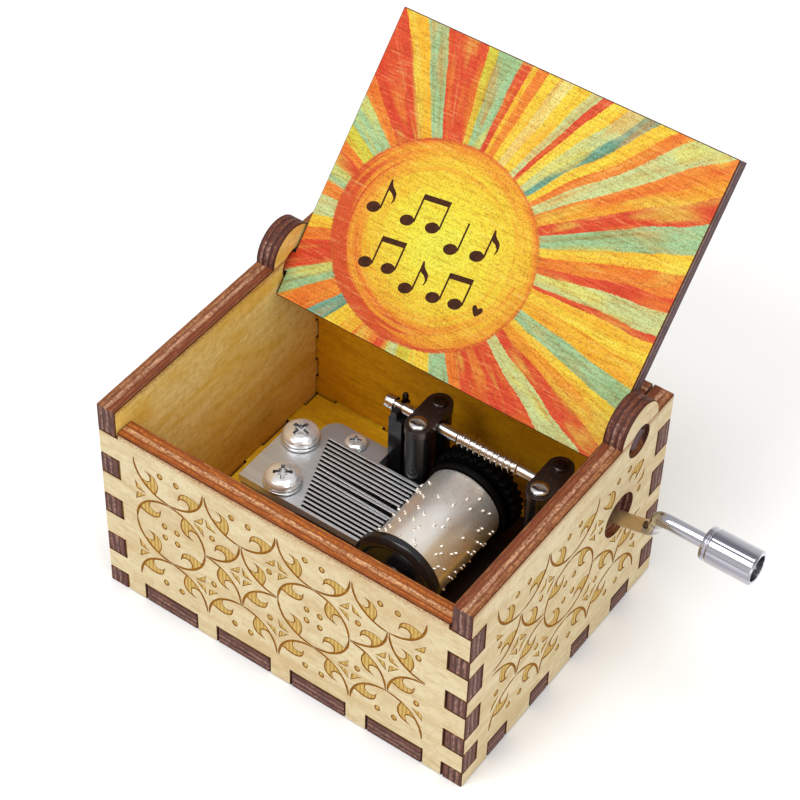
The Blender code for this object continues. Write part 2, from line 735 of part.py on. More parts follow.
def crank_route():
    """Centre line of the bent rod: from the shaft through the wall, up the arm and on to the knob."""
    knob_end = Vector((ROD_END, SHOULDER.y, SHOULDER.z))
    corners = [
        Vector((SHAFT_RIGHT + GAP, SHAFT_Y, SHAFT_Z)), Vector((ROD_SET, SHAFT_Y, SHAFT_Z)),
        ELBOW, SHOULDER, knob_end,
    ]
    route = [corners[0], corners[1]]
    for before, corner, after in zip(corners[1:], corners[2:], corners[3:]):
        start = corner + (before - corner).normalized() * 1.5 * MM
        end = corner + (after - corner).normalized() * 1.5 * MM
        for step in range(6):
            t = step / 5
            route.append(start * (1 - t) ** 2 + corner * 2 * t * (1 - t) + end * t ** 2)
    route.append(knob_end)
    return route


def crank_rod():
    curve = bpy.data.curves.new("crank_rod", "CURVE")
    curve.dimensions = "3D"
    curve.bevel_depth = ROD_RADIUS
    curve.bevel_resolution = 3
    curve.use_fill_caps = True
    route = crank_route()
    spline = curve.splines.new("POLY")
    spline.points.add(len(route) - 1)
    origin = Vector((0, SHAFT_Y, SHAFT_Z))
    for point, place in zip(spline.points, route):
        point.co = (*(place - origin), 1)
    crank = bpy.data.objects.new("crank_rod", curve)
    PARTS.objects.link(crank)
    crank.location = origin
    curve.materials.append(CHROME)
    return crank


def crank_knob():
    """A turned knob with a collar at its inner end and a counterbored mouth, free on the rod."""
    length = KNOB_END - KNOB_START
    profile = [
        (KNOB_RADIUS - 0.25 * MM, length), (KNOB_RADIUS, length - 0.3 * MM), (KNOB_RADIUS, 1.2 * MM),
        (KNOB_RADIUS - 0.25 * MM, 1.0 * MM), (KNOB_RADIUS - 0.25 * MM, 0.8 * MM),
        (KNOB_RADIUS, 0.6 * MM), (KNOB_RADIUS - 0.1 * MM, 0.1 * MM), (KNOB_RADIUS - 0.4 * MM, 0),
        (KNOB_BORE, 0), (KNOB_BORE, length - 2.2 * MM), (KNOB_MOUTH, length - 2.2 * MM),
        (KNOB_MOUTH, length),
    ]
    knob = turned("crank_knob", profile, CHROME, 24, ring=True)
    knob.rotation_euler.y = math.radians(90)
    knob.location = (KNOB_START, SHOULDER.y, SHOULDER.z)
    rivet = turned(
        "knob_rivet",
        [(0, 1.0 * MM), (0.6 * MM, 0.8 * MM), (1.4 * MM, 0.35 * MM), (1.65 * MM, 0), (0, 0)],
        STEEL, 12,
    )
    rivet.rotation_euler.y = math.radians(90)
    rivet.location = (ROD_END + GAP, SHOULDER.y, SHOULDER.z)


# Movement: pin cylinder and worm wheel --------------------------------------------------------


def along_y(obj, y):
    """Lay a piece turned about Z along Y on the cylinder's axis, its height running backwards."""
    obj.rotation_euler.x = math.radians(-90)
    obj.location = (DRUM_X, y, DRUM_Z)
    return obj


def drum_pins():
    """The tune's pins, spread evenly along a few turns so that no two tracks strike together."""
    bm = bmesh.new()
    pitch = (COMB_BACK - COMB_FRONT) / TEETH
    golden = math.pi * (3 - math.sqrt(5))
    for track in range(PIN_TRACKS):
        height = COMB_FRONT + (track + 0.5) * pitch - DRUM_FRONT
        for beat in range(PINS_PER_TRACK):
            angle = golden * (track * PINS_PER_TRACK + beat)
            outwards = Vector((math.cos(angle), math.sin(angle), 0))
            middle = outwards * (DRUM_RADIUS + PIN_HEIGHT / 2 - 0.2 * MM)
            middle.z = height
            turn = Vector((0, 0, 1)).rotation_difference(outwards).to_matrix().to_4x4()
            bmesh.ops.create_cone(
                bm,
                cap_ends=True,
                segments=5,
                radius1=PIN_RADIUS,
                radius2=PIN_RADIUS * 0.8,
                depth=PIN_HEIGHT + 0.4 * MM,
                matrix=Matrix.Translation(middle) @ turn,
            )
    return along_y(from_bmesh("drum_pins", bm, None, CUTTERS), DRUM_FRONT)


def pin_cylinder():
    length = DRUM_BACK - DRUM_FRONT
    bore = ARBOR_RADIUS + GAP
    drum = turned(
        "pin_cylinder",
        [(DRUM_RADIUS, length), (DRUM_RADIUS, 0), (bore, 0), (bore, length)],
        NICKEL, ROUND, ring=True,
    )
    along_y(drum, DRUM_FRONT)
    return join(drum, drum_pins())


def front_cap():
    bore = ARBOR_RADIUS + GAP
    cap = turned(
        "cylinder_front_cap",
        [(CAP_RADIUS, 2.6 * MM), (CAP_RADIUS, 1.9 * MM), (CAP_RADIUS - 0.9 * MM, 1.2 * MM),
         (2.2 * MM, 1.2 * MM), (2.2 * MM, 0), (bore, 0), (bore, 2.6 * MM)],
        BLACK, ROUND, ring=True,
    )
    return along_y(cap, DRUM_FRONT - GAP - 2.6 * MM)


def worm_wheel():
    """A flange against the cylinder and a toothed wheel under the worm."""
    bore = ARBOR_RADIUS + GAP
    tip = SHAFT_Z - DRUM_Z - WORM_RADIUS - 0.2 * MM
    root = tip - 0.55 * MM
    teeth = []
    for tooth in range(WHEEL_TEETH):
        centre = 2 * math.pi * tooth / WHEEL_TEETH
        step = 2 * math.pi / WHEEL_TEETH
        for radius, offset in ((root, -0.34), (tip, -0.16), (tip, 0.16), (root, 0.34)):
            angle = centre + step * offset
            teeth.append((radius * math.cos(angle), radius * math.sin(angle)))
    wheel = sheet("worm_wheel", [teeth, circle((0, 0), 1.7 * MM)], WHEEL_THICKNESS, BLACK)
    along_y(wheel, SHAFT_Y)
    front = DRUM_BACK + GAP
    hub_back = 15.1 * MM
    hub = turned(
        "wheel_hub",
        [(2.4 * MM, hub_back - front), (2.4 * MM, 1.7 * MM), (4.6 * MM, 1.7 * MM), (4.6 * MM, 1.1 * MM),
         (FLANGE_RADIUS - 0.4 * MM, 1.1 * MM), (FLANGE_RADIUS, 0.7 * MM), (FLANGE_RADIUS, 0),
         (bore, 0), (bore, hub_back - front)],
        None, ROUND, ring=True, collection=CUTTERS,
    )
    along_y(hub, front)
    return join(wheel, hub)


def arbor():
    return rod(
        "cylinder_arbor", (DRUM_X, -13.4 * MM, DRUM_Z), (DRUM_X, 17.6 * MM, DRUM_Z), ARBOR_RADIUS,
        material=STEEL,
    )


def movement():
    bedplate()
    comb()
    comb_fixings()
    mounting_screws()
    bearings()
    worm_shaft()
    shaft_coupler()
    crank_rod()
    crank_knob()
    pin_cylinder()
    front_cap()
    worm_wheel()
    arbor()


case()
movement()
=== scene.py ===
"""Looks of the hand-cranked music box: engraved plywood case, painted lid and comb movement.

Metres, in the frame of the CAD: +Z up, -Y the front wall, +X the wall with the crank.
"""

import json
import random
from math import cos, hypot, pi, radians, sin

import bmesh
import bpy
from mathutils import Matrix, Vector
from mathutils.geometry import delaunay_2d_cdt


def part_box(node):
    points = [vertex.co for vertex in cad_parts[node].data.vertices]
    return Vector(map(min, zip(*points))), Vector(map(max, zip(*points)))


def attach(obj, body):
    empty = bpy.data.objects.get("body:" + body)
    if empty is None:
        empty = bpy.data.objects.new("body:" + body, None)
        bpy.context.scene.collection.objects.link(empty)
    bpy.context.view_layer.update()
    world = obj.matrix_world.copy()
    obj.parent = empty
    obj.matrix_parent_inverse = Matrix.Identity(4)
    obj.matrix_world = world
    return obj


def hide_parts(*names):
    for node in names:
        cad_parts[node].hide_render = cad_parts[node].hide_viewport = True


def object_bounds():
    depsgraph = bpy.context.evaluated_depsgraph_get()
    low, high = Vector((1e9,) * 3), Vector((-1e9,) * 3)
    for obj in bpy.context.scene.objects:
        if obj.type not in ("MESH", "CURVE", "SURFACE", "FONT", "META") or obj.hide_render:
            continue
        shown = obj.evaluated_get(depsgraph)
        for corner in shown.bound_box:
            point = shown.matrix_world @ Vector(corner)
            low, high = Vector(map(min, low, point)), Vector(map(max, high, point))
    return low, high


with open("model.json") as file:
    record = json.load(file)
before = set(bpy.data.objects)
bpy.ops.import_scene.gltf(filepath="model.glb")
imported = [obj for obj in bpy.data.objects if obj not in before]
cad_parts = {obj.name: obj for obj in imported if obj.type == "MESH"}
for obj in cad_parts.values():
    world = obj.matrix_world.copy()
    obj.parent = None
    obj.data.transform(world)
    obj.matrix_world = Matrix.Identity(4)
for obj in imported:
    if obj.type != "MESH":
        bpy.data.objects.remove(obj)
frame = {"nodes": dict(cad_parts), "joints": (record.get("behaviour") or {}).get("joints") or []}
cad_box = [list(corner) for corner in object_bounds()]

MM = 0.001
UP = Vector((0, 0, 1))
DOWN = Vector((0, 0, -1))

# The case, measured from the frame
CASE_LOW, CASE_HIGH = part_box("bottom_panel")
LEFT, FRONT = CASE_LOW.x, CASE_LOW.y
RIGHT, BACK = CASE_HIGH.x, CASE_HIGH.y
PLY = CASE_HIGH.z - CASE_LOW.z
FRONT_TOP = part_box("front_panel")[1].z
WALL_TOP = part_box("back_panel")[1].z
LID_PIVOT = Vector(next(j["pos_m"] for j in frame["joints"] if j["name"] == "lid_hinge"))
LID_LEAN = radians(42.5)  # from upright, backwards, as in the CAD
LID_THICKNESS = 3.2 * MM
CHAMFER = 0.13 * MM  # the laser rounds and burns each cut edge a little
CLEAR = 0.3 * MM  # a face this far above or below a wall's top isn't part of it

# Engraving, in millimetres on the face of a wall
PITCH = 12.75  # from one ring to the next
RING = 6.2
LINE = 0.42  # width of the ring's line
RIM = 0.21  # width of the dark outline round a leaf
LINE_DEPTH, FILL_DEPTH = 0.1, 0.06

# Where a plate's faces look for their material: the outer face with its engraved lines and fills, the
# inner face, an edge that faces up, other edges, the chamfer and one more
AT_OUTER, AT_LINE, AT_FILL, AT_INNER, AT_TOP, AT_EDGE, AT_CHAMFER, AT_EXTRA = range(8)


# --- Mesh helpers ---


def linked(name, data):
    """A new object of the scene."""
    obj = bpy.data.objects.new(name, data)
    bpy.context.scene.collection.objects.link(obj)
    return obj


def piece(name, mesh, body, materials, replaces=()):
    """An object that rides on a CAD body and stands for these CAD nodes."""
    obj = linked(name, mesh)
    for material in materials:
        mesh.materials.append(material)
    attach(obj, body)
    if replaces:
        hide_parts(*replaces)
    return obj


def smoothed(mesh, degrees):
    """Shade a mesh smooth, but for its edges sharper than this."""
    mesh.shade_smooth()
    mesh.set_sharp_from_angle(angle=radians(degrees))
    return mesh


def mesh_from(bm, name, smooth_angle=None):
    mesh = bpy.data.meshes.new(name)
    bm.to_mesh(mesh)
    bm.free()
    return mesh if smooth_angle is None else smoothed(mesh, smooth_angle)


def applied(obj):
    """The mesh that an object comes to, with its modifiers."""
    return bpy.data.meshes.new_from_object(obj.evaluated_get(bpy.context.evaluated_depsgraph_get()))


def weighted(obj):
    """Shade big faces flat and only their rounded edges curved."""
    modifier = obj.modifiers.new("weighted", "WEIGHTED_NORMAL")
    modifier.keep_sharp = True
    return obj


def frame_of(origin, u, v, w):
    """Matrix from a wall's own (along, up, inwards) to the row frame."""
    matrix = Matrix((u, v, w)).transposed().to_4x4()
    matrix.translation = origin
    return matrix


def round_circle(count):
    """Angles spaced evenly round a circle."""
    return [2 * pi * i / count for i in range(count)]


def area(loop):
    return sum(a.x * b.y - b.x * a.y for a, b in zip(loop, loop[1:] + loop[:1])) / 2


def anticlockwise(loop):
    return loop if area(loop) > 0 else loop[::-1]


def inset(loop, distance):
    """The loop moved to its left: inwards if it runs anticlockwise, outwards if clockwise."""
    moved = []
    for before, point, after in zip(loop[-1:] + loop[:-1], loop, loop[1:] + loop[:1]):
        first, second = (point - before).normalized(), (after - point).normalized()
        across = Vector((-first.y - second.y, first.x + second.x))
        share = max(0.35, 1 + first.dot(second))
        moved.append(point + across * distance / share)
    return moved


def plate_loops(node, to_wall):
    """The outline and holes of a flat CAD node, in millimetres on its outer face, outline first."""
    bm = bmesh.new()
    bm.from_mesh(frame["nodes"][node].data)
    bm.transform(to_wall)
    bmesh.ops.remove_doubles(bm, verts=bm.verts, dist=1e-6)
    face_edges = {}
    for face in bm.faces:
        if all(abs(vert.co.z) < 2e-5 for vert in face.verts):
            for edge in face.edges:
                face_edges[edge] = face_edges.get(edge, 0) + 1
    neighbours = {}
    for edge, count in face_edges.items():
        if count == 1:
            a, b = edge.verts
            neighbours.setdefault(a, []).append(b)
            neighbours.setdefault(b, []).append(a)
    loops = []
    while neighbours:
        start = next(iter(neighbours))
        walk, current = [start], neighbours.pop(start)[0]
        while current is not start:
            walk.append(current)
            current = next(v for v in neighbours.pop(current) if v is not walk[-2])
        loops.append([Vector(vert.co.xy) / MM for vert in walk])
    bm.free()
    loops.sort(key=lambda loop: -abs(area(loop)))
    return [anticlockwise(loops[0])] + [anticlockwise(loop)[::-1] for loop in loops[1:]]


def inside(point, loop):
    crossings = 0
    for a, b in zip(loop, loop[1:] + loop[:1]):
        if (a.y > point.y) != (b.y > point.y):
            crossings += point.x < a.x + (point.y - a.y) * (b.x - a.x) / (b.y - a.y)
    return crossings % 2 == 1


def relief(bm, loops, shapes, to_row, face_index):
    """A flat face with shapes sunk into it. Shapes are (loop, depth, material index), and where two
    of them lie on each other the later one wins."""
    coords, faces = [], []
    for loop in loops + [shape[0] for shape in shapes]:
        loop = anticlockwise(loop)
        faces.append(list(range(len(coords), len(coords) + len(loop))))
        coords += loop
    out_coords, _, out_faces, _, _, origins = delaunay_2d_cdt(coords, [], faces, 0, 1e-5)
    verts, sides = {}, {}

    def vert(index, depth):
        if (index, depth) not in verts:
            u, v = out_coords[index]
            verts[index, depth] = bm.verts.new(to_row @ Vector((u * MM, v * MM, depth * MM)))
        return verts[index, depth]

    for face, origin in zip(out_faces, origins):
        if 0 not in origin or any(i in origin for i in range(1, len(loops))):
            continue
        depth, index = 0.0, face_index
        top = max(origin)
        if top >= len(loops):
            _, depth, index = shapes[top - len(loops)]
        bm.faces.new([vert(i, depth) for i in face]).material_index = index
        for a, b in zip(face, face[1:] + face[:1]):
            sides.setdefault((min(a, b), max(a, b)), set()).add(depth)
    for (a, b), depths in sides.items():
        if len(depths) == 2:
            high, low = sorted(depths)
            wall = [vert(a, high), vert(b, high), vert(b, low), vert(a, low)]
            bm.faces.new(wall).material_index = AT_LINE


def plate(loops, thickness, to_row, outer_shapes=(), inner_shapes=(), chamfer=CHAMFER, top_edge=True):
    """A plate with chamfered edges. The layer ply_depth runs from 0 to 1 inwards."""
    bm = bmesh.new()
    small = [inset(loop, chamfer / MM) for loop in loops]
    relief(bm, small, outer_shapes, to_row, AT_OUTER)
    far_wall = to_row @ Matrix.Translation((0, 0, thickness)) @ Matrix.Diagonal((1, 1, -1, 1))
    relief(bm, small, inner_shapes, far_wall, AT_INNER)
    for loop, inner in zip(loops, small):
        rings = []
        for points, depth in ((inner, 0), (loop, chamfer), (loop, thickness - chamfer), (inner, thickness)):
            rings.append([bm.verts.new(to_row @ Vector((*(p * MM), depth))) for p in points])
        count = len(loop)
        for i in range(count):
            j = (i + 1) % count
            along = (loop[j] - loop[i]).normalized()
            edge = AT_TOP if along.x < -0.7 and top_edge else AT_EDGE
            for near, far, index in zip(rings, rings[1:], (AT_CHAMFER, edge, AT_CHAMFER)):
                bm.faces.new((near[i], near[j], far[j], far[i])).material_index = index
    bmesh.ops.remove_doubles(bm, verts=bm.verts, dist=2e-6)
    bmesh.ops.recalc_face_normals(bm, faces=bm.faces)
    layer = bm.verts.layers.float.new("ply_depth")
    from_row = to_row.inverted()
    for vert in bm.verts:
        vert[layer] = (from_row @ vert.co).z / thickness
    return bm


# --- Materials ---


def add(tree, kind, values=None, **settings):
    """A shader node, with its inputs set to a number or linked to a socket."""
    node = tree.nodes.new("ShaderNode" + kind)
    for key, value in settings.items():
        setattr(node, key, value)
    for socket, value in (values or {}).items():
        if isinstance(value, bpy.types.NodeSocket):
            tree.links.new(value, node.inputs[socket])
        else:
            node.inputs[socket].default_value = value
    return node


def srgb(red, green, blue):
    """A colour given as the eight-bit values that a screen shows."""
    shares = [value / 255 for value in (red, green, blue)]
    return [((share + 0.055) / 1.055) ** 2.4 if share > 0.04 else share / 12.92 for share in shares] + [1]


def new_material(name, **values):
    """A Principled material and its node tree, with some of the shader's sockets set."""
    material = bpy.data.materials.new(name)
    material.use_nodes = True
    tree = material.node_tree
    shader = tree.nodes["Principled BSDF"]
    for socket, value in values.items():
        shader.inputs[socket.replace("_", " ")].default_value = value
    return material, tree, shader


def coordinates(tree, scale=(1, 1, 1), shift=(0, 0, 0)):
    """Places in the row frame, in millimetres, stretched by scale."""
    place = add(tree, "TexCoord").outputs["Object"]
    values = {"Vector": place, "Scale": [1000 * s for s in scale], "Location": shift}
    return add(tree, "Mapping", values).outputs["Vector"]


def flat_place(tree, x, y):
    """Two values as the place where a texture is read."""
    return add(tree, "CombineXYZ", {"X": x, "Y": y}).outputs[0]


def noise(tree, vector, scale, detail=3.0, roughness=0.5, distortion=0.0):
    values = {
        "Vector": vector, "Scale": scale, "Detail": detail, "Roughness": roughness,
        "Distortion": distortion,
    }
    return add(tree, "TexNoise", values).outputs["Fac"]


def ramp(tree, fac, stops, interpolation="LINEAR"):
    node = add(tree, "ValToRGB", {"Fac": fac})
    node.color_ramp.interpolation = interpolation
    elements = node.color_ramp.elements
    for place, colour in stops[1:-1]:
        elements.new(place).color = colour
    elements[0].position, elements[0].color = stops[0]
    elements[-1].position, elements[-1].color = stops[-1]
    return node.outputs["Color"]


def step(tree, value, low, high, to_low=0.0, to_high=1.0):
    """A smooth step from one value to the other."""
    values = {"Value": value, "From Min": low, "From Max": high, "To Min": to_low, "To Max": to_high}
    node = add(tree, "MapRange", values, interpolation_type="SMOOTHSTEP")
    return node.outputs["Result"]


def maths(tree, operation, first, second=0.0, clamp=False):
    node = add(tree, "Math", {0: first, 1: second}, operation=operation, use_clamp=clamp)
    return node.outputs["Value"]


def times(tree, first, second):
    return maths(tree, "MULTIPLY", first, second)


def plus(tree, first, second, clamp=False):
    return maths(tree, "ADD", first, second, clamp)


def minus(tree, first, second):
    return maths(tree, "SUBTRACT", first, second)


def mix(tree, fac, first, second, blend="MIX"):
    """Mix two colours. A Mix node's colours are its sockets 6 and 7, and its result is socket 2."""
    node = add(tree, "Mix", {0: fac, 6: first, 7: second}, data_type="RGBA", blend_type=blend)
    return node.outputs[2]


def over(tree, colour, tone, fac, low, high, amount, blend="MIX"):
    """A tone laid over the colour, from none where fac is low to amount where it is high."""
    return mix(tree, step(tree, fac, low, high, 0.0, amount), colour, tone, blend)


def surface(tree, shader, colour, roughness, height, strength, distance):
    """Link a shader's colour, roughness and bump. The distance is in millimetres."""
    values = {"Height": height, "Strength": strength, "Distance": distance * MM}
    tree.links.new(add(tree, "Bump", values).outputs["Normal"], shader.inputs["Normal"])
    tree.links.new(colour, shader.inputs["Base Color"])
    tree.links.new(roughness, shader.inputs["Roughness"])


def height_above_floor(tree):
    """In millimetres."""
    return add(tree, "SeparateXYZ", {"Vector": coordinates(tree)}).outputs["Z"]


def wood_grain(tree, along):
    """Fine grain and broad figure of a veneer whose grain runs along one of the row's axes."""
    fine = [0.09 if axis == along else 1.0 for axis in range(3)]
    broad = [0.25 if axis == along else 1.0 for axis in range(3)]
    pores = noise(tree, coordinates(tree, fine), 3.4, 4.0, 0.65, 0.3)
    figure = noise(tree, coordinates(tree, broad, (7, 3, 5)), 0.22, 3.0, 0.55, 1.2)
    return pores, figure


def plywood_face(name, along, top, light, dark, stain, shade_colour=None):
    """Birch veneer, browned by the laser's smoke in a speckled band below the wall's top edge. It darkens
    towards the floor to the given shade colour, if there is one: painted shade low down in the case."""
    material, tree, shader = new_material(name, Specular_IOR_Level=0.35)
    pores, figure = wood_grain(tree, along)
    stain = srgb(*stain)
    colour = mix(tree, step(tree, figure, 0.35, 0.7), srgb(*light), srgb(*dark))
    colour = over(tree, colour, stain, pores, 0.46, 0.74, 0.5)
    blotch = noise(tree, coordinates(tree, (1, 1, 1), (3, 8, 1)), 0.9, 5.0, 0.7)
    colour = over(tree, colour, stain, blotch, 0.42, 0.7, 0.4)
    below = minus(tree, top / MM, height_above_floor(tree))
    # painted shade: the wall darkens lower down in the case
    if shade_colour:
        colour = over(tree, colour, srgb(*shade_colour), below, 6.0, 30.0, 0.8, "MULTIPLY")
    speckle = noise(tree, coordinates(tree), 5.5, 5.0, 0.75)
    reach = minus(tree, speckle, times(tree, below, 0.15))
    burn = times(tree, step(tree, reach, 0.32, 0.52), step(tree, below, -0.4, 0.0))
    colour = mix(tree, times(tree, burn, 0.9), colour, srgb(150, 82, 22))
    surface(tree, shader, colour, step(tree, pores, 0.2, 0.8, 0.5, 0.68), pores, 0.25, 0.06)
    return material


def burnt_edge(name, stops, speck, pale):
    """A laser-cut edge: veneers and core as stripes through the thickness, their fibres drawn out along
    it, charred in patches."""
    material, tree, shader = new_material(name, Specular_IOR_Level=0.3)
    depth = add(tree, "Attribute", attribute_name="ply_depth").outputs["Fac"]
    wobble = noise(tree, coordinates(tree), 0.55, 5.0, 0.65)
    wobble = times(tree, minus(tree, wobble, 0.5), 0.16)
    speck = srgb(*speck)
    colour = ramp(tree, plus(tree, depth, wobble), [(place, srgb(*tone)) for place, *tone in stops])
    x, y, z = add(tree, "SeparateXYZ", {"Vector": coordinates(tree)}).outputs
    along = times(tree, plus(tree, plus(tree, x, y), z), 0.28)
    streaks = flat_place(tree, along, times(tree, depth, 13.0))
    fibres = noise(tree, streaks, 1.0, 4.0, 0.6)
    colour = over(tree, colour, speck, fibres, 0.48, 0.62, 0.75)
    colour = over(tree, colour, srgb(*pale), fibres, 0.46, 0.34, 0.35)
    char = noise(tree, coordinates(tree), 2.2, 6.0, 0.75)
    colour = over(tree, colour, speck, char, 0.42, 0.62, 0.85)
    surface(tree, shader, colour, step(tree, char, 0.3, 0.7, 0.75, 0.45), char, 0.5, 0.12)
    return material


def engraved(name, colour, dark, hatch=None):
    """Wood left by the laser: scorched, with the beam's fine scan lines where it filled a shape."""
    material, tree, shader = new_material(name, Specular_IOR_Level=0.2)
    cloud = noise(tree, coordinates(tree), 1.3, 4.0, 0.6)
    shade = mix(tree, step(tree, cloud, 0.3, 0.75), srgb(*colour), srgb(*dark))
    if hatch:
        lines = add(
            tree, "TexWave", {"Vector": coordinates(tree, (1, 1, 0)), "Scale": 0.95, "Distortion": 0.3},
            wave_type="BANDS", bands_direction="DIAGONAL",
        ).outputs["Fac"]
        shade = over(tree, shade, srgb(*hatch), lines, 0.3, 0.8, 0.6)
    tree.links.new(shade, shader.inputs["Base Color"])
    shader.inputs["Roughness"].default_value = 0.8
    return material


BIRCH = ((220, 204, 164), (206, 182, 136), (184, 152, 102))
FACE_ALONG_X = plywood_face("birch_along_x", 0, FRONT_TOP, *BIRCH)
FACE_BACK = plywood_face("birch_back", 0, WALL_TOP, *BIRCH)
FACE_ALONG_Y = plywood_face("birch_along_y", 1, WALL_TOP, *BIRCH)
# The inner faces and the floor take a deep honey tone with no blue: painted warm light bounced about inside
# the case. The side walls' inner faces also take painted shade lower down.
INNER_ALONG_X = plywood_face(
    "bounce_lit_birch_along_x", 0, WALL_TOP, (238, 174, 18), (220, 150, 6), (182, 112, 4)
)
INNER_ALONG_Y = plywood_face(
    "bounce_lit_birch_along_y", 1, WALL_TOP, (246, 220, 140), (236, 196, 88), (204, 146, 28), (238, 200, 120)
)
FLOOR_FACE = plywood_face("bounce_lit_birch_floor", 0, 1.0, (252, 210, 36), (240, 184, 14), (204, 138, 6))
# Stripes of an edge: place through the ply, red, green, blue; then the colours of its specks and fibres
TOP_EDGE = burnt_edge("burnt_top_edge", (
    (0.0, 172, 124, 74), (0.1, 136, 76, 36), (0.22, 176, 126, 84), (0.33, 116, 56, 26),
    (0.43, 202, 160, 126), (0.54, 182, 132, 94), (0.62, 94, 38, 18), (0.74, 140, 70, 30),
    (0.86, 84, 32, 14), (1.0, 152, 96, 42),
), (108, 50, 22), (206, 152, 108))
FRONT_EDGE = burnt_edge("burnt_front_edge", (
    (0.0, 184, 110, 30), (0.08, 128, 58, 12), (0.2, 188, 102, 26), (0.3, 122, 52, 12),
    (0.4, 208, 150, 100), (0.52, 220, 176, 132), (0.6, 136, 64, 16), (0.72, 192, 106, 24),
    (0.86, 116, 50, 10), (1.0, 192, 122, 42),
), (126, 60, 14), (226, 164, 96))
END_EDGE = burnt_edge("burnt_end_edge", (
    (0.0, 44, 12, 12), (0.14, 108, 62, 48), (0.26, 168, 126, 108), (0.34, 56, 18, 20), (0.45, 122, 76, 62),
    (0.55, 172, 132, 114), (0.66, 54, 18, 20), (0.8, 132, 82, 64), (1.0, 46, 14, 14),
), (62, 22, 18), (176, 128, 106))
EAR_EDGE = burnt_edge("burnt_ear_edge", (
    (0.0, 38, 12, 8), (0.12, 104, 50, 30), (0.24, 132, 76, 50), (0.34, 52, 16, 12), (0.46, 112, 58, 38),
    (0.56, 134, 82, 58), (0.66, 50, 16, 12), (0.82, 112, 56, 34), (1.0, 38, 12, 8),
), (56, 18, 12), (150, 96, 66))
SCORCH = engraved("scorched_corner", (92, 46, 20), (52, 22, 12))
RING_LINE = engraved("engraved_line", (160, 106, 10), (130, 76, 4))
FILL = engraved("engraved_fill", (208, 178, 108), (198, 162, 84), (158, 114, 34))


# --- Engraving: interlaced rings with wave-crest leaves, dots and cross-cut diamonds ---


def polar(centre, radius, degrees):
    angle = radians(degrees)
    return Vector((centre.x + radius * cos(angle), centre.y + radius * sin(angle)))


def ring_arc(centre, start, end):
    """The line of a ring between two angles, in steps of about five degrees."""
    count = max(2, round((end - start) / 5))
    angles = [start + (end - start) * i / count for i in range(count + 1)]
    half = LINE / 2
    taper = [min(1, 0.4 + 5 * min(i, count - i) / count) for i in range(count + 1)]
    outer = [polar(centre, RING + half * t, a) for a, t in zip(angles, taper)]
    inner = [polar(centre, RING - half * t, a) for a, t in zip(angles, taper)]
    return outer + inner[::-1]


def through(points):
    """A closed Catmull-Rom curve through these points."""
    curve = []
    count = len(points)
    for i in range(count):
        p0, p1, p2, p3 = (points[(i + k) % count] for k in (-1, 0, 1, 2))
        for t in (0, 0.25, 0.5, 0.75):
            curve.append(
                0.5 * (2 * p1 + (p2 - p0) * t + (2 * p0 - 5 * p1 + 4 * p2 - p3) * t ** 2
                       + (3 * p1 - p0 - 3 * p2 + p3) * t ** 3)
            )
    return curve


LEAF = (  # degrees round the ring and share of its radius: up the back, over the crest, to the tip
    (0, 1.0), (-1, 0.86), (0, 0.74), (5, 0.62), (14, 0.545), (26, 0.53), (37, 0.6), (44, 0.74),
    (37, 0.675), (29, 0.68), (22, 0.76), (23, 0.87), (28, 0.95), (32, 1.0), (16, 1.01),
)


LEAF_PLACES = (-25, 65, 155, 245)  # degrees round a ring


def leaf(centre, start):
    points = [polar(centre, share * RING, start - turn) for turn, share in LEAF]
    return anticlockwise(through(points))


def rimmed(loop, rim=RIM):
    """A shape filled with scan lines inside a darker rim."""
    return [(loop, LINE_DEPTH, AT_LINE), (inset(loop, rim), FILL_DEPTH, AT_FILL)]


def dot(centre):
    return rimmed([centre + Vector((0.52 * cos(a), 0.62 * sin(a))) for a in round_circle(14)])


def diamond(centre, quarters=(0, 1, 2, 3)):
    """A square on its point, cut by an upright cross into bands. Quarter 0 is the upper right one."""
    shapes = []
    band = ((0.17, 2.05), (0.3, 0.85), (0.42, 0.42), (0.85, 0.3), (2.05, 0.17))
    for quarter in quarters:
        turn = Matrix.Rotation(radians(90 * quarter), 2)
        shapes += rimmed(anticlockwise([centre + turn @ Vector(point) for point in band]), 0.13)
    return shapes


def ring_part(centre, start, end):
    """A stretch of a ring with the leaves that lie inside it."""
    arcs = [ring_arc(centre, turn, min(turn + 90, end)) for turn in range(start, end, 90)]
    shapes = [(arc, LINE_DEPTH, AT_LINE) for arc in arcs]
    for first in LEAF_PLACES:
        for around in (first, first + 360):
            if start < around - 40 and around < end:
                shapes += rimmed(leaf(centre, around))
    return shapes


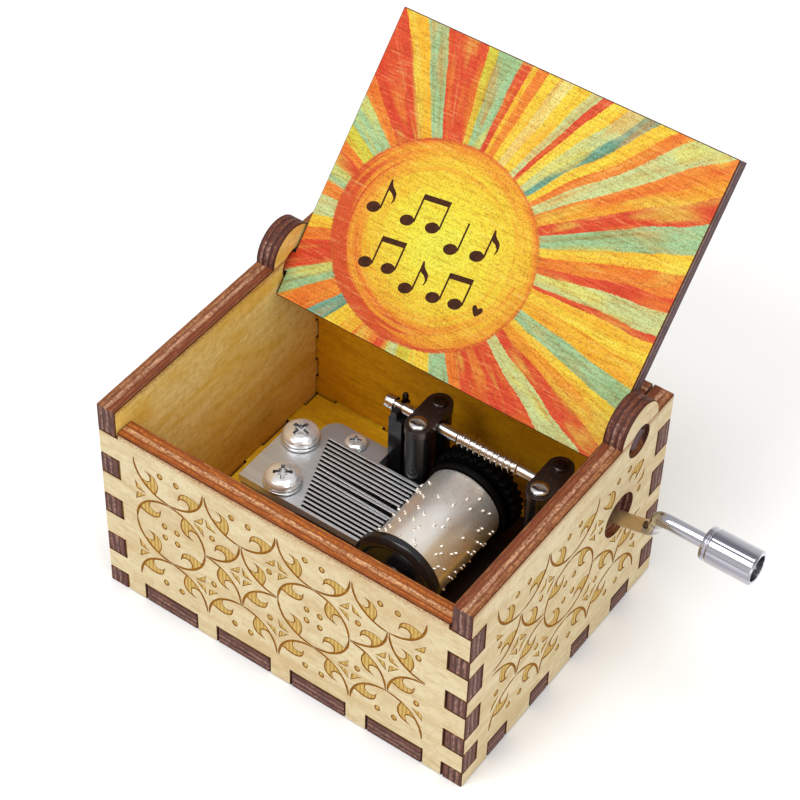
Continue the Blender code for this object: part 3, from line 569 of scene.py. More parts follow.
def ornament(columns, left, middle, rise, first_full):
    """Rings on a lattice, three rows a rise apart. The middle row has every other ring whole, from
    column first_full on, and between them the quarter rings of its neighbours curve away."""
    shapes = []
    half, half_rise = PITCH / 2, rise / 2
    for column in range(columns):
        centre = Vector((left + half + column * PITCH, middle))
        top, bottom = centre + Vector((0, rise)), centre - Vector((0, rise))
        shapes += ring_part(top, 180, 360) + ring_part(bottom, 0, 180)
        if column % 2 == first_full:
            shapes += ring_part(centre, 0, 360)
            for x in (-1.15, 1.15):
                shapes += dot(centre + Vector((x, rise - 11.5))) + dot(centre + Vector((x, 11.5 - rise)))
        else:
            shapes += diamond(centre)
            for x, y, start in ((-1, 1, 270), (1, 1, 180), (-1, -1, 0), (1, -1, 90)):
                shapes += ring_part(centre + Vector((x * half, y * half_rise)), start, start + 90)
        for x in (-1.45, 1.45):
            shapes += dot(top + Vector((x, -1.1))) + dot(bottom + Vector((x, 1.1)))
    for column in range(columns + 1):
        towards = 1 if (column + first_full) % 2 else -1
        seen = (0, 3) if column == 0 else (1, 2) if column == columns else (0, 1, 2, 3)
        for side in (1, -1):
            place = Vector((left + column * PITCH, middle + side * half_rise - 0.35))
            cell = {(1, 1): 3, (-1, 1): 2, (1, -1): 0, (-1, -1): 1}[towards, side]
            shapes += diamond(place, [quarter for quarter in seen if quarter != cell])
            if cell in seen:
                shapes += dot(place + Vector((towards * 1.3, -side * 1.3)))
    return shapes


def clear_of(shapes, loops, margin=0.5):
    """The shapes that lie wholly on the wall, away from its edge and holes."""
    kept = []
    outline, holes = inset(loops[0], margin), [inset(loop, margin) for loop in loops[1:]]
    for shape in shapes:
        points = shape[0]
        if all(inside(p, outline) and not any(inside(p, hole) for hole in holes) for p in points):
            kept.append(shape)
    return kept


# --- The case ---


def in_cavity(place):
    """Whether a place is inside the case and below the front wall's top, its chamfers included."""
    reach = PLY - CHAMFER
    across = LEFT + reach < place.x < RIGHT - reach and FRONT + reach < place.y < BACK - reach
    return across and place.z < FRONT_TOP - CLEAR


def wall(node, to_row, face, inner, ornament_shapes, top_edge):
    """A wall in its eight materials. The edges of its ears are darker, and the chamfers that show
    inside the case take the inner face's colour."""
    loops = plate_loops(node, to_row.inverted())
    bm = plate(loops, PLY, to_row, clear_of(ornament_shapes, loops))
    for part in bm.faces:
        place = part.calc_center_median()
        if part.material_index == AT_TOP and place.z > WALL_TOP + CLEAR:
            part.material_index = AT_EXTRA
        elif part.material_index == AT_CHAMFER and in_cavity(place):
            part.material_index = AT_INNER
    materials = [face, RING_LINE, FILL, inner, top_edge, END_EDGE, SCORCH, EAR_EDGE]
    piece(node + "_plywood", mesh_from(bm, node), "case", materials, [node])


def walls():
    x, y = Vector((1, 0, 0)), Vector((0, 1, 0))
    long_shapes = ornament(columns=4, left=6.1, middle=18.4, rise=12.7, first_full=0)
    short_shapes = ornament(columns=3, left=6.2, middle=19.6, rise=13.3, first_full=1)
    for side, corner, along, inwards, face, inner, shapes, top_edge in (
        ("front", (LEFT, FRONT, 0), x, y, FACE_ALONG_X, INNER_ALONG_X, long_shapes, FRONT_EDGE),
        ("back", (RIGHT, BACK, 0), -x, -y, FACE_BACK, INNER_ALONG_X, long_shapes, TOP_EDGE),
        ("right", (RIGHT, FRONT, 0), y, -x, FACE_ALONG_Y, INNER_ALONG_Y, short_shapes, TOP_EDGE),
        ("left", (LEFT, BACK, 0), -y, x, FACE_ALONG_Y, INNER_ALONG_Y, short_shapes, TOP_EDGE),
    ):
        wall(side + "_panel", frame_of(corner, along, UP, inwards), face, inner, shapes, top_edge)


walls()


# --- Lid ---

SUN = Vector((-8.5, 11.7))  # centre of the painted sun, in millimetres from the pivot
SUN_WIDE, SUN_HIGH = 16.8, 15.4
RED, ORANGE, AMBER = srgb(222, 74, 40), srgb(236, 128, 44), srgb(240, 160, 44)
GOLD, YELLOW, LIME = srgb(242, 184, 48), srgb(244, 208, 66), srgb(214, 204, 74)
TEAL, PALE, BLUE, CREAM = srgb(160, 196, 170), srgb(202, 210, 168), srgb(112, 172, 178), srgb(236, 218, 150)
# Rays anticlockwise from the right of the sun: width in degrees and colour. A colour ramp holds no
# more than 32 stops, so they fill two.
RAYS = (
    (
        (2, GOLD), (2, RED), (6, PALE), (3, RED), (5, ORANGE), (4, YELLOW), (6, TEAL), (5, RED), (3, AMBER),
        (3, ORANGE), (5, PALE), (3, ORANGE), (3, YELLOW), (3, BLUE), (4, PALE), (4, YELLOW), (2, RED),
        (3, PALE), (5, YELLOW), (4, CREAM), (4, YELLOW), (4, ORANGE), (2, GOLD), (3, RED), (8, TEAL),
        (3, LIME), (12, RED), (6, TEAL), (6, GOLD),
    ),
    (
        (13, RED), (5, ORANGE), (10, TEAL), (7, LIME), (3, ORANGE), (6, RED), (7, TEAL), (7, ORANGE),
        (9, PALE), (6, YELLOW), (5, ORANGE), (11, RED), (9, TEAL), (9, ORANGE), (6, BLUE), (7, YELLOW),
        (7, GOLD), (12, ORANGE), (8, RED), (6, PALE), (8, LIME), (10, YELLOW), (9, TEAL), (5, ORANGE),
        (19, RED), (6, PALE), (4, RED), (5, AMBER), (3, YELLOW), (5, TEAL), (6, GOLD), (4, YELLOW),
    ),
)


def span(rays):
    return sum(width for width, _ in rays)


def ray_ramp(tree, fac, rays):
    """Rays with hard edges. Fac runs from 0 to 1 over them."""
    stops, angle = [], 0
    for width, colour in rays:
        stops.append((angle / span(rays), colour))
        angle += width
    return ramp(tree, fac, stops, "CONSTANT")


def polar_place(tree, turn, turn_scale, radius, radius_scale):
    """A place made of how far round the sun a point is and how far out."""
    return flat_place(tree, times(tree, turn, turn_scale), times(tree, radius, radius_scale))


def sunburst():
    """A hand-painted sun: rays wander a little, strokes run along them and round the disc."""
    material, tree, shader = new_material("painted_sunburst", Specular_IOR_Level=0.3)
    lean = LID_LEAN - radians(90)
    pivot = Matrix.Rotation(lean, 4, "X") @ (LID_PIVOT / MM)
    place = add(tree, "Mapping", {
        "Vector": add(tree, "TexCoord").outputs["Object"], "Scale": (1000, 1000, 1000),
        "Rotation": (lean, 0, 0), "Location": (-pivot.x - SUN.x, -pivot.y - SUN.y, 0),
    }).outputs["Vector"]
    x, y, _ = add(tree, "SeparateXYZ", {"Vector": place}).outputs
    oval = flat_place(tree, maths(tree, "DIVIDE", x, SUN_WIDE), maths(tree, "DIVIDE", y, SUN_HIGH))
    radius = add(tree, "VectorMath", {0: oval}, operation="LENGTH").outputs["Value"]
    turn = maths(tree, "DIVIDE", maths(tree, "ARCTAN2", y, x), 2 * pi)
    turn = maths(tree, "FRACT", plus(tree, turn, 1.0))
    waver = minus(tree, noise(tree, place, 0.1, 2.0, 0.4), 0.5)
    grit = minus(tree, noise(tree, place, 2.6, 3.0, 0.7), 0.5)
    turn_soft = plus(tree, turn, times(tree, waver, 0.01))
    turn_soft = maths(tree, "FRACT", plus(tree, turn_soft, times(tree, grit, 0.003)))
    share = span(RAYS[0]) / (span(RAYS[0]) + span(RAYS[1]))
    first = ray_ramp(tree, maths(tree, "DIVIDE", turn_soft, share), RAYS[0])
    second_fac = maths(tree, "DIVIDE", minus(tree, turn_soft, share), 1 - share)
    second = ray_ramp(tree, second_fac, RAYS[1])
    colour = mix(tree, maths(tree, "GREATER_THAN", turn_soft, share), first, second)
    # broad and fine strokes along the rays, in warm tones and in the paper's
    broad = noise(tree, polar_place(tree, turn, 46.0, radius, 1.1), 1.0, 2.0, 0.5, 0.3)
    colour = over(tree, colour, AMBER, broad, 0.52, 0.7, 0.45)
    colour = over(tree, colour, srgb(232, 214, 96), broad, 0.48, 0.3, 0.6)
    strokes = noise(tree, polar_place(tree, turn, 170.0, radius, 0.9), 1.0, 4.0, 0.65)
    colour = over(tree, colour, AMBER, strokes, 0.46, 0.72, 0.6, "MULTIPLY")
    colour = over(tree, colour, CREAM, strokes, 0.46, 0.24, 0.3)
    # the disc, painted in round strokes, redder at its left and lower rim
    rounds = noise(tree, polar_place(tree, turn, 4.0, radius, 16.0), 1.0, 4.0, 0.65, 0.5)
    lopsided = plus(tree, times(tree, y, -0.006), times(tree, x, -0.009))
    depth = plus(tree, radius, times(tree, minus(tree, rounds, 0.5), 0.75))
    depth = plus(tree, depth, lopsided)
    disc = ramp(tree, depth, [
        (0.0, srgb(238, 230, 84)), (0.4, srgb(242, 218, 66)), (0.66, srgb(240, 196, 54)),
        (0.82, srgb(240, 164, 46)), (0.95, srgb(234, 128, 40)), (1.05, srgb(216, 82, 36)),
    ])
    edge = plus(tree, radius, times(tree, plus(tree, waver, grit), 0.04))
    colour = mix(tree, step(tree, edge, 0.985, 1.01), disc, colour)
    rim = maths(tree, "ABSOLUTE", minus(tree, edge, 0.99))
    colour = over(tree, colour, srgb(206, 88, 36), rim, 0.02, 0.0, 0.6)
    # watercolour pooling, then the veneer's fine level grain and its flecks showing through
    pool = noise(tree, place, 0.3, 5.0, 0.7)
    colour = over(tree, colour, srgb(150, 110, 40), pool, 0.42, 0.72, 0.4, "SOFT_LIGHT")
    grain = add(tree, "Mapping", {"Vector": place, "Scale": (0.22, 2.6, 1)}).outputs["Vector"]
    lines = noise(tree, grain, 1.0, 4.0, 0.7)
    colour = over(tree, colour, srgb(206, 160, 96), lines, 0.44, 0.72, 0.55, "MULTIPLY")
    colour = over(tree, colour, CREAM, lines, 0.46, 0.3, 0.25)
    fleck = noise(tree, place, 4.5, 3.0, 0.75)
    colour = over(tree, colour, srgb(176, 132, 70), fleck, 0.48, 0.66, 0.7, "MULTIPLY")
    colour = mix(tree, 1.0, colour, (0.88, 0.96, 0.7, 1), "MULTIPLY")
    surface(tree, shader, colour, step(tree, lines, 0.2, 0.8, 0.5, 0.7), lines, 0.3, 0.06)
    return material


def inked(shapes):
    """Shapes burnt a little way into the lid's front."""
    return [(shape, FILL_DEPTH, AT_EXTRA) for shape in shapes]


def note(place, height, flag=True):
    """A quaver, or a crotchet if it has no flag."""
    turn = Matrix.Rotation(radians(22), 2)
    head = [place + turn @ Vector((1.15 * cos(a), 0.82 * sin(a))) for a in round_circle(20)]
    x, y = place.x + 0.95, place.y + 0.2
    stem = [Vector(p) for p in ((x, y), (x + 0.3, y), (x + 0.3, y + height), (x, y + height))]
    shapes = [head, stem]
    if flag:
        top = y + height
        points = [(0.1, 0), (0.55, -0.8), (1.5, -1.6), (1.65, -2.7), (1.3, -3.3), (1.35, -2.5), (0.8, -1.9),
                  (0.15, -1.5)]
        shapes.append(through([Vector((x + 0.1 + px, top + py)) for px, py in points]))
    return inked(shapes)


def beamed(place, apart, height):
    """Two quavers joined by a slanting beam."""
    rise = 0.6
    far = place + Vector((apart, rise))
    x, y = place.x + 0.95, place.y + 0.2 + height
    beam = [(x, y - 0.85), (x + apart + 0.3, y - 0.85 + rise), (x + apart + 0.3, y + rise), (x, y)]
    return note(place, height, False) + note(far, height, False) + inked([[Vector(p) for p in beam]])


def heart(centre, size):
    points = [(0, -1.0), (0.75, -0.25), (0.95, 0.4), (0.5, 0.75), (0.0, 0.35), (-0.5, 0.75), (-0.95, 0.4),
              (-0.75, -0.25)]
    return inked([through([centre + Vector(p) * size for p in points])])


def lid():
    up = Vector((0, sin(LID_LEAN), cos(LID_LEAN)))
    inwards = Vector((0, -cos(LID_LEAN), sin(LID_LEAN)))
    origin = LID_PIVOT + inwards * LID_THICKNESS / 2
    to_row = frame_of(origin, Vector((1, 0, 0)), up, -inwards)
    loops = plate_loops("lid", to_row.inverted())
    tune = note(SUN + Vector((-11.2, 1.2)), 4.6) + beamed(SUN + Vector((-5.4, 1.6)), 4.2, 4.4)
    tune += note(SUN + Vector((2.8, 0.6)), 4.4, False) + note(SUN + Vector((7.0, 1.4)), 4.4)
    tune += beamed(SUN + Vector((-8.8, -6.6)), 3.8, 4.4) + note(SUN + Vector((-1.2, -7.4)), 4.6)
    tune += beamed(SUN + Vector((3.4, -6.8)), 3.6, 4.2) + heart(SUN + Vector((10.6, -5.6)), 0.9)
    rings = ornament(columns=4, left=-25.5, middle=18.6, rise=12.75, first_full=0)
    back_shapes = clear_of(rings, loops, 1.0)
    bm = plate(loops, LID_THICKNESS, to_row, tune, back_shapes, top_edge=False)
    materials = [sunburst(), RING_LINE, FILL, LID_BACK, END_EDGE, LID_EDGE, SCORCH, INK]
    piece("lid_painted", mesh_from(bm, "lid"), "lid", materials, ["lid"])


LID_BACK = plywood_face("birch_lid_back", 0, 1.0, (224, 208, 170), (211, 187, 144), (190, 160, 112))
LID_EDGE = burnt_edge("burnt_lid_edge", (
    (0.0, 120, 70, 30), (0.1, 96, 54, 40), (0.2, 176, 134, 118), (0.34, 60, 28, 34), (0.48, 74, 40, 48),
    (0.58, 142, 108, 112), (0.72, 62, 32, 40), (0.86, 110, 78, 84), (1.0, 44, 22, 22),
), (58, 30, 30), (150, 112, 104))
INK = engraved("burnt_ink", (74, 38, 18), (46, 22, 12))
lid()


# --- Metals and plastic ---


def metal(name, colour, roughness, brush=(1, 1, 1), scale=2.0, strength=0.08, tint=None, metallic=1.0):
    """Bare or plated metal, its polish uneven and its surface drawn out along a brushing direction."""
    material, tree, shader = new_material(name, Metallic=metallic)
    marks = noise(tree, coordinates(tree, brush), scale, 4.0, 0.6)
    cloud = noise(tree, coordinates(tree, brush), 0.45, 3.0, 0.6)
    tint = tint or [share * 0.86 for share in colour]
    shade = mix(tree, step(tree, cloud, 0.35, 0.65), [*colour, 1], [*tint, 1])
    surface(tree, shader, shade, step(tree, marks, 0.25, 0.75, *roughness), marks, strength, 0.03)
    return material


def cast_zinc():
    """Die-cast zinc, dull, with painted shade that turns it dark maroon low down, round the drum."""
    material, tree, shader = new_material("cast_zinc_satin", Metallic=0.85)
    marks = noise(tree, coordinates(tree), 6.0, 4.0, 0.6)
    # painted shade: the casting goes dark low down, where the comb and drum shade it
    low_down = step(tree, height_above_floor(tree), 9.5, 6.5)
    painted_low_shade = plus(tree, low_down, times(tree, marks, 0.1), True)
    shade = mix(tree, painted_low_shade, (0.5, 0.52, 0.56, 1), (0.045, 0.03, 0.024, 1))
    surface(tree, shader, shade, step(tree, marks, 0.25, 0.75, 0.42, 0.55), marks, 0.15, 0.03)
    return material


def plastic(name, colour, roughness, specular=0.5):
    """Moulded plastic with a faint orange-peel skin and dull patches from handling."""
    material, tree, shader = new_material(name, Specular_IOR_Level=specular)
    skin = noise(tree, coordinates(tree), 3.0, 3.0, 0.5)
    patch = noise(tree, coordinates(tree), 0.4, 3.0, 0.5)
    tone = mix(tree, step(tree, patch, 0.4, 0.8), [*colour, 1], [*(share * 1.5 for share in colour), 1])
    surface(tree, shader, tone, step(tree, patch, 0.3, 0.75, *roughness), skin, 0.03, 0.01)
    return material


ZINC = cast_zinc()
COMB_STEEL = metal(
    "ground_comb_steel", (0.7, 0.72, 0.75), (0.34, 0.44), (0.05, 1, 1), 7.0, 0.15, metallic=0.85
)
# painted shade: near black for the sides of the comb's slots
SLOT_SHADE = metal("slot_painted_shade", (0.012, 0.012, 0.012), (0.5, 0.6), metallic=0.2)
BRIGHT = metal("bright_steel", (0.86, 0.87, 0.88), (0.12, 0.26), scale=1.6, strength=0.05)
SCREW = metal(
    "zinc_plated_screws", (0.95, 0.96, 0.98), (0.14, 0.24), scale=1.6, strength=0.03, metallic=0.7
)
# painted shade: dark sides and a lighter floor in a screw's cross
RECESS_SHADE = metal("screw_recess", (0.16, 0.16, 0.17), (0.3, 0.5), strength=0.05, metallic=0.9)
RECESS_FLOOR = metal("screw_recess_floor", (0.74, 0.75, 0.77), (0.4, 0.6), strength=0.05, metallic=0.4)
SHAFT_STEEL = metal("drawn_shaft_steel", (0.86, 0.84, 0.81), (0.12, 0.24), (0.1, 1, 1), 3.0, 0.06)
NICKEL = metal(
    "satin_nickel", (1.0, 0.98, 0.94), (0.26, 0.34), (1, 0.5, 1), 2.2, 0.04, (0.95, 0.9, 0.82), 0.74
)
# painted reflection: the dark second tone lays reflection bands along the crank's chrome
CHROME = metal("crank_chrome", (0.78, 0.77, 0.82), (0.06, 0.14), (0.03, 1, 1), 2.5, 0.03, (0.26, 0.25, 0.3))
# painted shade: the knob's bore is darker than its chrome
BORE_SHADE = metal("knob_bore_shade", (0.3, 0.3, 0.32), (0.12, 0.26), scale=3.0)
# painted reflection: a tan tone for the warm wood that the rod and its coupler mirror near the wall
WOOD_REFLECTION = metal(
    "steel_painted_wood_reflection", (0.68, 0.49, 0.27), (0.3, 0.42), (0.1, 1, 1), 3.0, 0.05, (0.5, 0.35, 0.18), 0.75
)
BLACKENED = metal("blackened_steel", (0.08, 0.06, 0.06), (0.2, 0.4), scale=3.0)
BLACK = plastic("black_moulding", (0.007, 0.007, 0.008), (0.18, 0.26))
# darker and duller than the other black mouldings: painted shade on the wheel behind the drum
WHEEL = plastic("black_wheel_moulding", (0.002, 0.002, 0.002), (0.5, 0.6), 0.08)
CAP = plastic("black_cap_moulding", (0.006, 0.007, 0.01), (0.2, 0.28), 0.55)
# its reddish tint is a painted warm reflection on the black plastic
STRAP = plastic("strap_black", (0.022, 0.012, 0.01), (0.16, 0.3))


# --- Turned and cast pieces ---


def rounded(start, corner, end, steps):
    """Points of the curve that rounds a corner off between start and end."""
    curve = []
    for k in range(steps + 1):
        t = k / steps
        curve.append(start * (1 - t) ** 2 + corner * 2 * t * (1 - t) + end * t ** 2)
    return curve


def softened(profile, radius, closed=False):
    """A (radius, height) profile in millimetres with its corners rounded."""
    points = [Vector(point) for point in profile]
    if closed:
        triples = zip(points[-1:] + points[:-1], points, points[1:] + points[:1])
    else:
        triples = zip(points, points[1:], points[2:])
    soft = []
    for before, corner, after in triples:
        back, ahead = before - corner, after - corner
        reach = min(radius, back.length * 0.45, ahead.length * 0.45)
        start, end = corner + back.normalized() * reach, corner + ahead.normalized() * reach
        soft += rounded(start, corner, end, 3)
    return soft if closed else [points[0]] + soft + [points[-1]]


def facing(start, axis):
    """Matrix that moves the origin to start and turns Z to the axis."""
    return Matrix.Translation(start) @ UP.rotation_difference(Vector(axis)).to_matrix().to_4x4()


def lathe(bm, profile, place, sides=72, closed=False):
    """Turn a profile about the matrix's Z. Points on the axis become one vertex."""
    rings = []
    for radius, height in profile:
        if radius < 1e-6:
            rings.append([bm.verts.new(place @ Vector((0, 0, height * MM)))] * sides)
            continue
        ring = []
        for angle in round_circle(sides):
            point = Vector((radius * cos(angle), radius * sin(angle), height))
            ring.append(bm.verts.new(place @ (point * MM)))
        rings.append(ring)
    pairs = list(zip(rings, rings[1:])) + ([(rings[-1], rings[0])] if closed else [])
    for near, far in pairs:
        for i in range(sides):
            j = (i + 1) % sides
            corners = dict.fromkeys((near[i], near[j], far[j], far[i]))
            if len(corners) > 2:
                bm.faces.new(list(corners))
    return bm


def turned(
    node, profile, axis, start, body, material, soft=0.08, closed=False, sides=72, made="turned"
):
    """A turned piece that stands for a CAD node. Its profile's height runs along axis from start."""
    name = f"{node}_{made}"
    bm = bmesh.new()
    lathe(bm, softened(profile, soft, closed), facing(start, axis), sides, closed)
    bmesh.ops.recalc_face_normals(bm, faces=bm.faces)
    return weighted(piece(name, mesh_from(bm, name, 40), body, [material], [node]))


def refined(node, made, body, material, bevel=0.15, segments=2):
    """A copy of a CAD node's own shape with its corners rounded."""
    name = f"{node}_{made}"
    bm = bmesh.new()
    bm.from_mesh(frame["nodes"][node].data)
    bmesh.ops.remove_doubles(bm, verts=bm.verts, dist=2e-6)
    bmesh.ops.dissolve_limit(bm, angle_limit=radians(1), verts=bm.verts, edges=bm.edges)
    obj = piece(name, mesh_from(bm, name, 35), body, [material], [node])
    rounding = obj.modifiers.new("rounding", "BEVEL")
    rounding.width = bevel * MM
    rounding.segments = segments
    rounding.limit_method = "ANGLE"
    rounding.angle_limit = radians(32)
    rounding.harden_normals = False
    return weighted(obj)


def carved(obj, cutter):
    """Cut one piece with a helper mesh, for good."""
    obj.modifiers.clear()
    modifier = obj.modifiers.new("carve", "BOOLEAN")
    modifier.operation, modifier.solver, modifier.object = "DIFFERENCE", "EXACT", cutter
    modifier.material_mode = "TRANSFER"
    mesh = applied(obj)
    obj.modifiers.clear()
    obj.data = smoothed(mesh, 35)
    bpy.data.objects.remove(cutter, do_unlink=True)
    return weighted(obj)


def blade(centre, arm, width, depth, turn):
    """One blade of a Phillips point, narrower at its foot. It leaves a light floor and dark sides,
    painted shade in the cross.
    """
    bm = bmesh.new()
    bmesh.ops.create_cube(bm, size=1)
    place = Matrix.Translation(centre) @ Matrix.Rotation(radians(turn), 4, "Z")
    for vert in bm.verts:
        spread, height = (0.6, -depth) if vert.co.z < 0 else (1.2, 0.6)
        vert.co.x *= 2 * arm * spread
        vert.co.y *= width * spread
        vert.co.z = height
        vert.co = place @ (vert.co * MM)
    cutter = linked("blade", mesh_from(bm, "blade"))
    cutter.data.materials.append(RECESS_SHADE)
    cutter.data.materials.append(RECESS_FLOOR)
    for face in cutter.data.polygons:
        face.material_index = int(abs(face.normal.z) > 0.8)
    return cutter


def centre_of(node):
    low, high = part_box(node)
    return (low + high) / 2


PAN_HEAD = (  # shares of its radius and height: down the dome, over the rim line
    (0, 1), (0.4, 0.98), (0.66, 0.91), (0.84, 0.78), (0.95, 0.6), (1, 0.42), (1, 0.24), (0.975, 0.21),
    (0.975, 0.17), (1, 0.14), (1, 0),
)


def pan_screw(node, head, height, shank, material, arm=None, turn=20):
    """A domed screw with a rim line round its side and, if arm is given, a cross in its head."""
    low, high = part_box(node)
    start = Vector((*centre_of(node).xy, high.z - height * MM))
    reach = (high.z - low.z) / MM - height
    profile = [(head * out, height * up) for out, up in PAN_HEAD]
    profile += [(shank, 0), (shank, -reach), (0, -reach)]
    screw = turned(node, profile, (0, 0, 1), start, "case", material, 0.07)
    if arm:
        top = Vector((start.x, start.y, high.z))
        for quarter in (0, 90):
            carved(screw, blade(top, arm, arm * 0.42, height * 0.3, turn + quarter))
            carved(screw, blade(top, arm * 0.62, arm * 0.16, height * 0.18, turn + quarter + 45))
    return screw


TEETH = 18
PRESSED, PRESS = (8, 10), 0.55 * MM  # teeth counted from the front, and how far their tips go down


def comb():
    """The comb's own outline with ground edges and painted shade in its slots, two teeth pressed down by
    pins.
    """
    low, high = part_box("comb")
    to_row = frame_of((0, 0, high.z), Vector((1, 0, 0)), Vector((0, 1, 0)), DOWN)
    loops = [inset(loop, 0.07) for loop in plate_loops("comb", to_row.inverted())]
    bm = plate(loops, high.z - low.z, to_row, chamfer=0.05 * MM)
    root = -13 * MM  # where the teeth begin to bend
    pitch = (high.y - low.y) / TEETH
    for vert in bm.verts:
        tooth = int((vert.co.y - low.y) / pitch)
        if vert.co.x > root and tooth in PRESSED:
            vert.co.z -= PRESS * (vert.co.x - root) / (high.x - root)
    for face in bm.faces:
        place = face.calc_center_median()
        between = low.y + pitch / 3 < place.y < high.y - pitch / 3 and place.x < high.x - 0.2 * MM
        face.material_index = int(between and abs(face.normal.z) < 0.2)
    piece("comb_ground", mesh_from(bm, "comb"), "case", [COMB_STEEL, SLOT_SHADE], ["comb"])


BEATS, PINS_PER_TRACK = 44, 6


def drum():
    """The cylinder with a track of pins for each tooth, set at random beats."""
    low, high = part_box("pin_cylinder")
    length, radius = (high.y - low.y) / MM, 6.3
    axis = centre_of("cylinder_arbor")
    start = Vector((axis.x, low.y, axis.z))
    place = facing(start, (0, 1, 0))
    bm = bmesh.new()
    shell = [(radius, length), (radius, 0), (1.0, 0), (1.0, length)]
    lathe(bm, softened(shell, 0.12, True), place, 128, True)
    random.seed(11)
    pin = [(0.22, -0.15), (0.21, 0.18), (0.17, 0.29), (0.09, 0.34), (0, 0.35)]
    comb_low, comb_high = (corner.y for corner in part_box("comb"))
    for track in range(TEETH):
        along = comb_low + (track + 0.5) * (comb_high - comb_low) / TEETH - low.y
        used = []
        while len(used) < PINS_PER_TRACK:
            beat = random.randrange(BEATS)
            if all(min((beat - b) % BEATS, (b - beat) % BEATS) > 2 for b in used):
                used.append(beat)
        for beat in used:
            angle = 2 * pi * (beat + 0.25 * (track % 3)) / BEATS
            outwards = Vector((cos(angle), sin(angle), 0))
            foot = outwards * radius * MM + Vector((0, 0, along))
            lathe(bm, pin, place @ facing(foot, outwards), 10)
    bmesh.ops.recalc_face_normals(bm, faces=bm.faces)
    mesh = mesh_from(bm, "pin_cylinder", 40)
    weighted(piece("pin_cylinder_satin", mesh, "drum", [NICKEL], ["pin_cylinder"]))


def drum_ends():
    """The front cap with its rim, and the toothed wheel at the back."""
    axis = centre_of("cylinder_arbor")
    start = Vector((axis.x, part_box("cylinder_front_cap")[0].y, axis.z))
    cap = [(7.4, 2.6), (7.4, 1.5), (6.7, 0.85), (5.9, 0.85), (5.6, 1.15), (2.4, 1.15), (2.2, 0.9), (2.2, 0),
           (1.05, 0), (1.05, 2.6)]
    turned(
        "cylinder_front_cap", cap, (0, 1, 0), start, "drum", CAP, 0.18, True, 112, "moulded"
    )
    refined("worm_wheel", "moulded", "drum", WHEEL, 0.12)
    frame["nodes"]["cylinder_arbor"].data.materials[0] = SHAFT_STEEL


def shaft():
    """The shaft with its end groove, and the worm as one rolled thread."""
    low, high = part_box("worm_shaft")
    axis_y, axis_z = centre_of("worm_shaft").yz
    length = (high.x - low.x) / MM
    profile = [
        (0, 0), (0.95, 0), (1.15, 0.2), (1.15, 1.7), (0.65, 1.7), (0.65, 3.2), (0.95, 3.2), (0.95, 12.9),
        (0.95, 24.1), (0.95, length - 0.3), (0.6, length), (0, length),
    ]
    start = Vector((low.x, axis_y, axis_z))
    turned("worm_shaft", profile, (1, 0, 0), start, "crank", SHAFT_STEEL, 0.1)
    turns, sides, steps = 11, 36, 14
    first, last = 4.5, 15.7  # the thread's ends along x, in millimetres
    bm = bmesh.new()
    rings = []
    count = turns * steps
    for i in range(count + 1):
        x = first + (last - first) * i / count
        fade = min(1.0, min(i, count - i) / steps)
        ring = []
        for k in range(sides):
            angle = 2 * pi * k / sides
            phase = (turns * i / count - k / sides) % 1
            ridge = max(0.0, cos(2 * pi * phase)) ** 0.8
            radius = (0.96 + 0.42 * ridge * fade) * MM
            y, z = axis_y + radius * cos(angle), axis_z + radius * sin(angle)
            ring.append(bm.verts.new((x * MM, y, z)))
        rings.append(ring)
    for near, far in zip(rings, rings[1:]):
        for k in range(sides):
            bm.faces.new((near[k], near[(k + 1) % sides], far[(k + 1) % sides], far[k]))
    for ring in (rings[0], rings[-1]):
        bm.faces.new(ring)
    bmesh.ops.recalc_face_normals(bm, faces=bm.faces)
    piece("worm_thread", mesh_from(bm, "worm_thread", 60), "crank", [SHAFT_STEEL])


# The rod's tan is a painted reflection of the wooden wall
WOOD_REFLECTION_TO = 36.6 * MM  # along x, where the rod's tan ends
BEND = 2.1 * MM  # from a bend's corner to where it starts


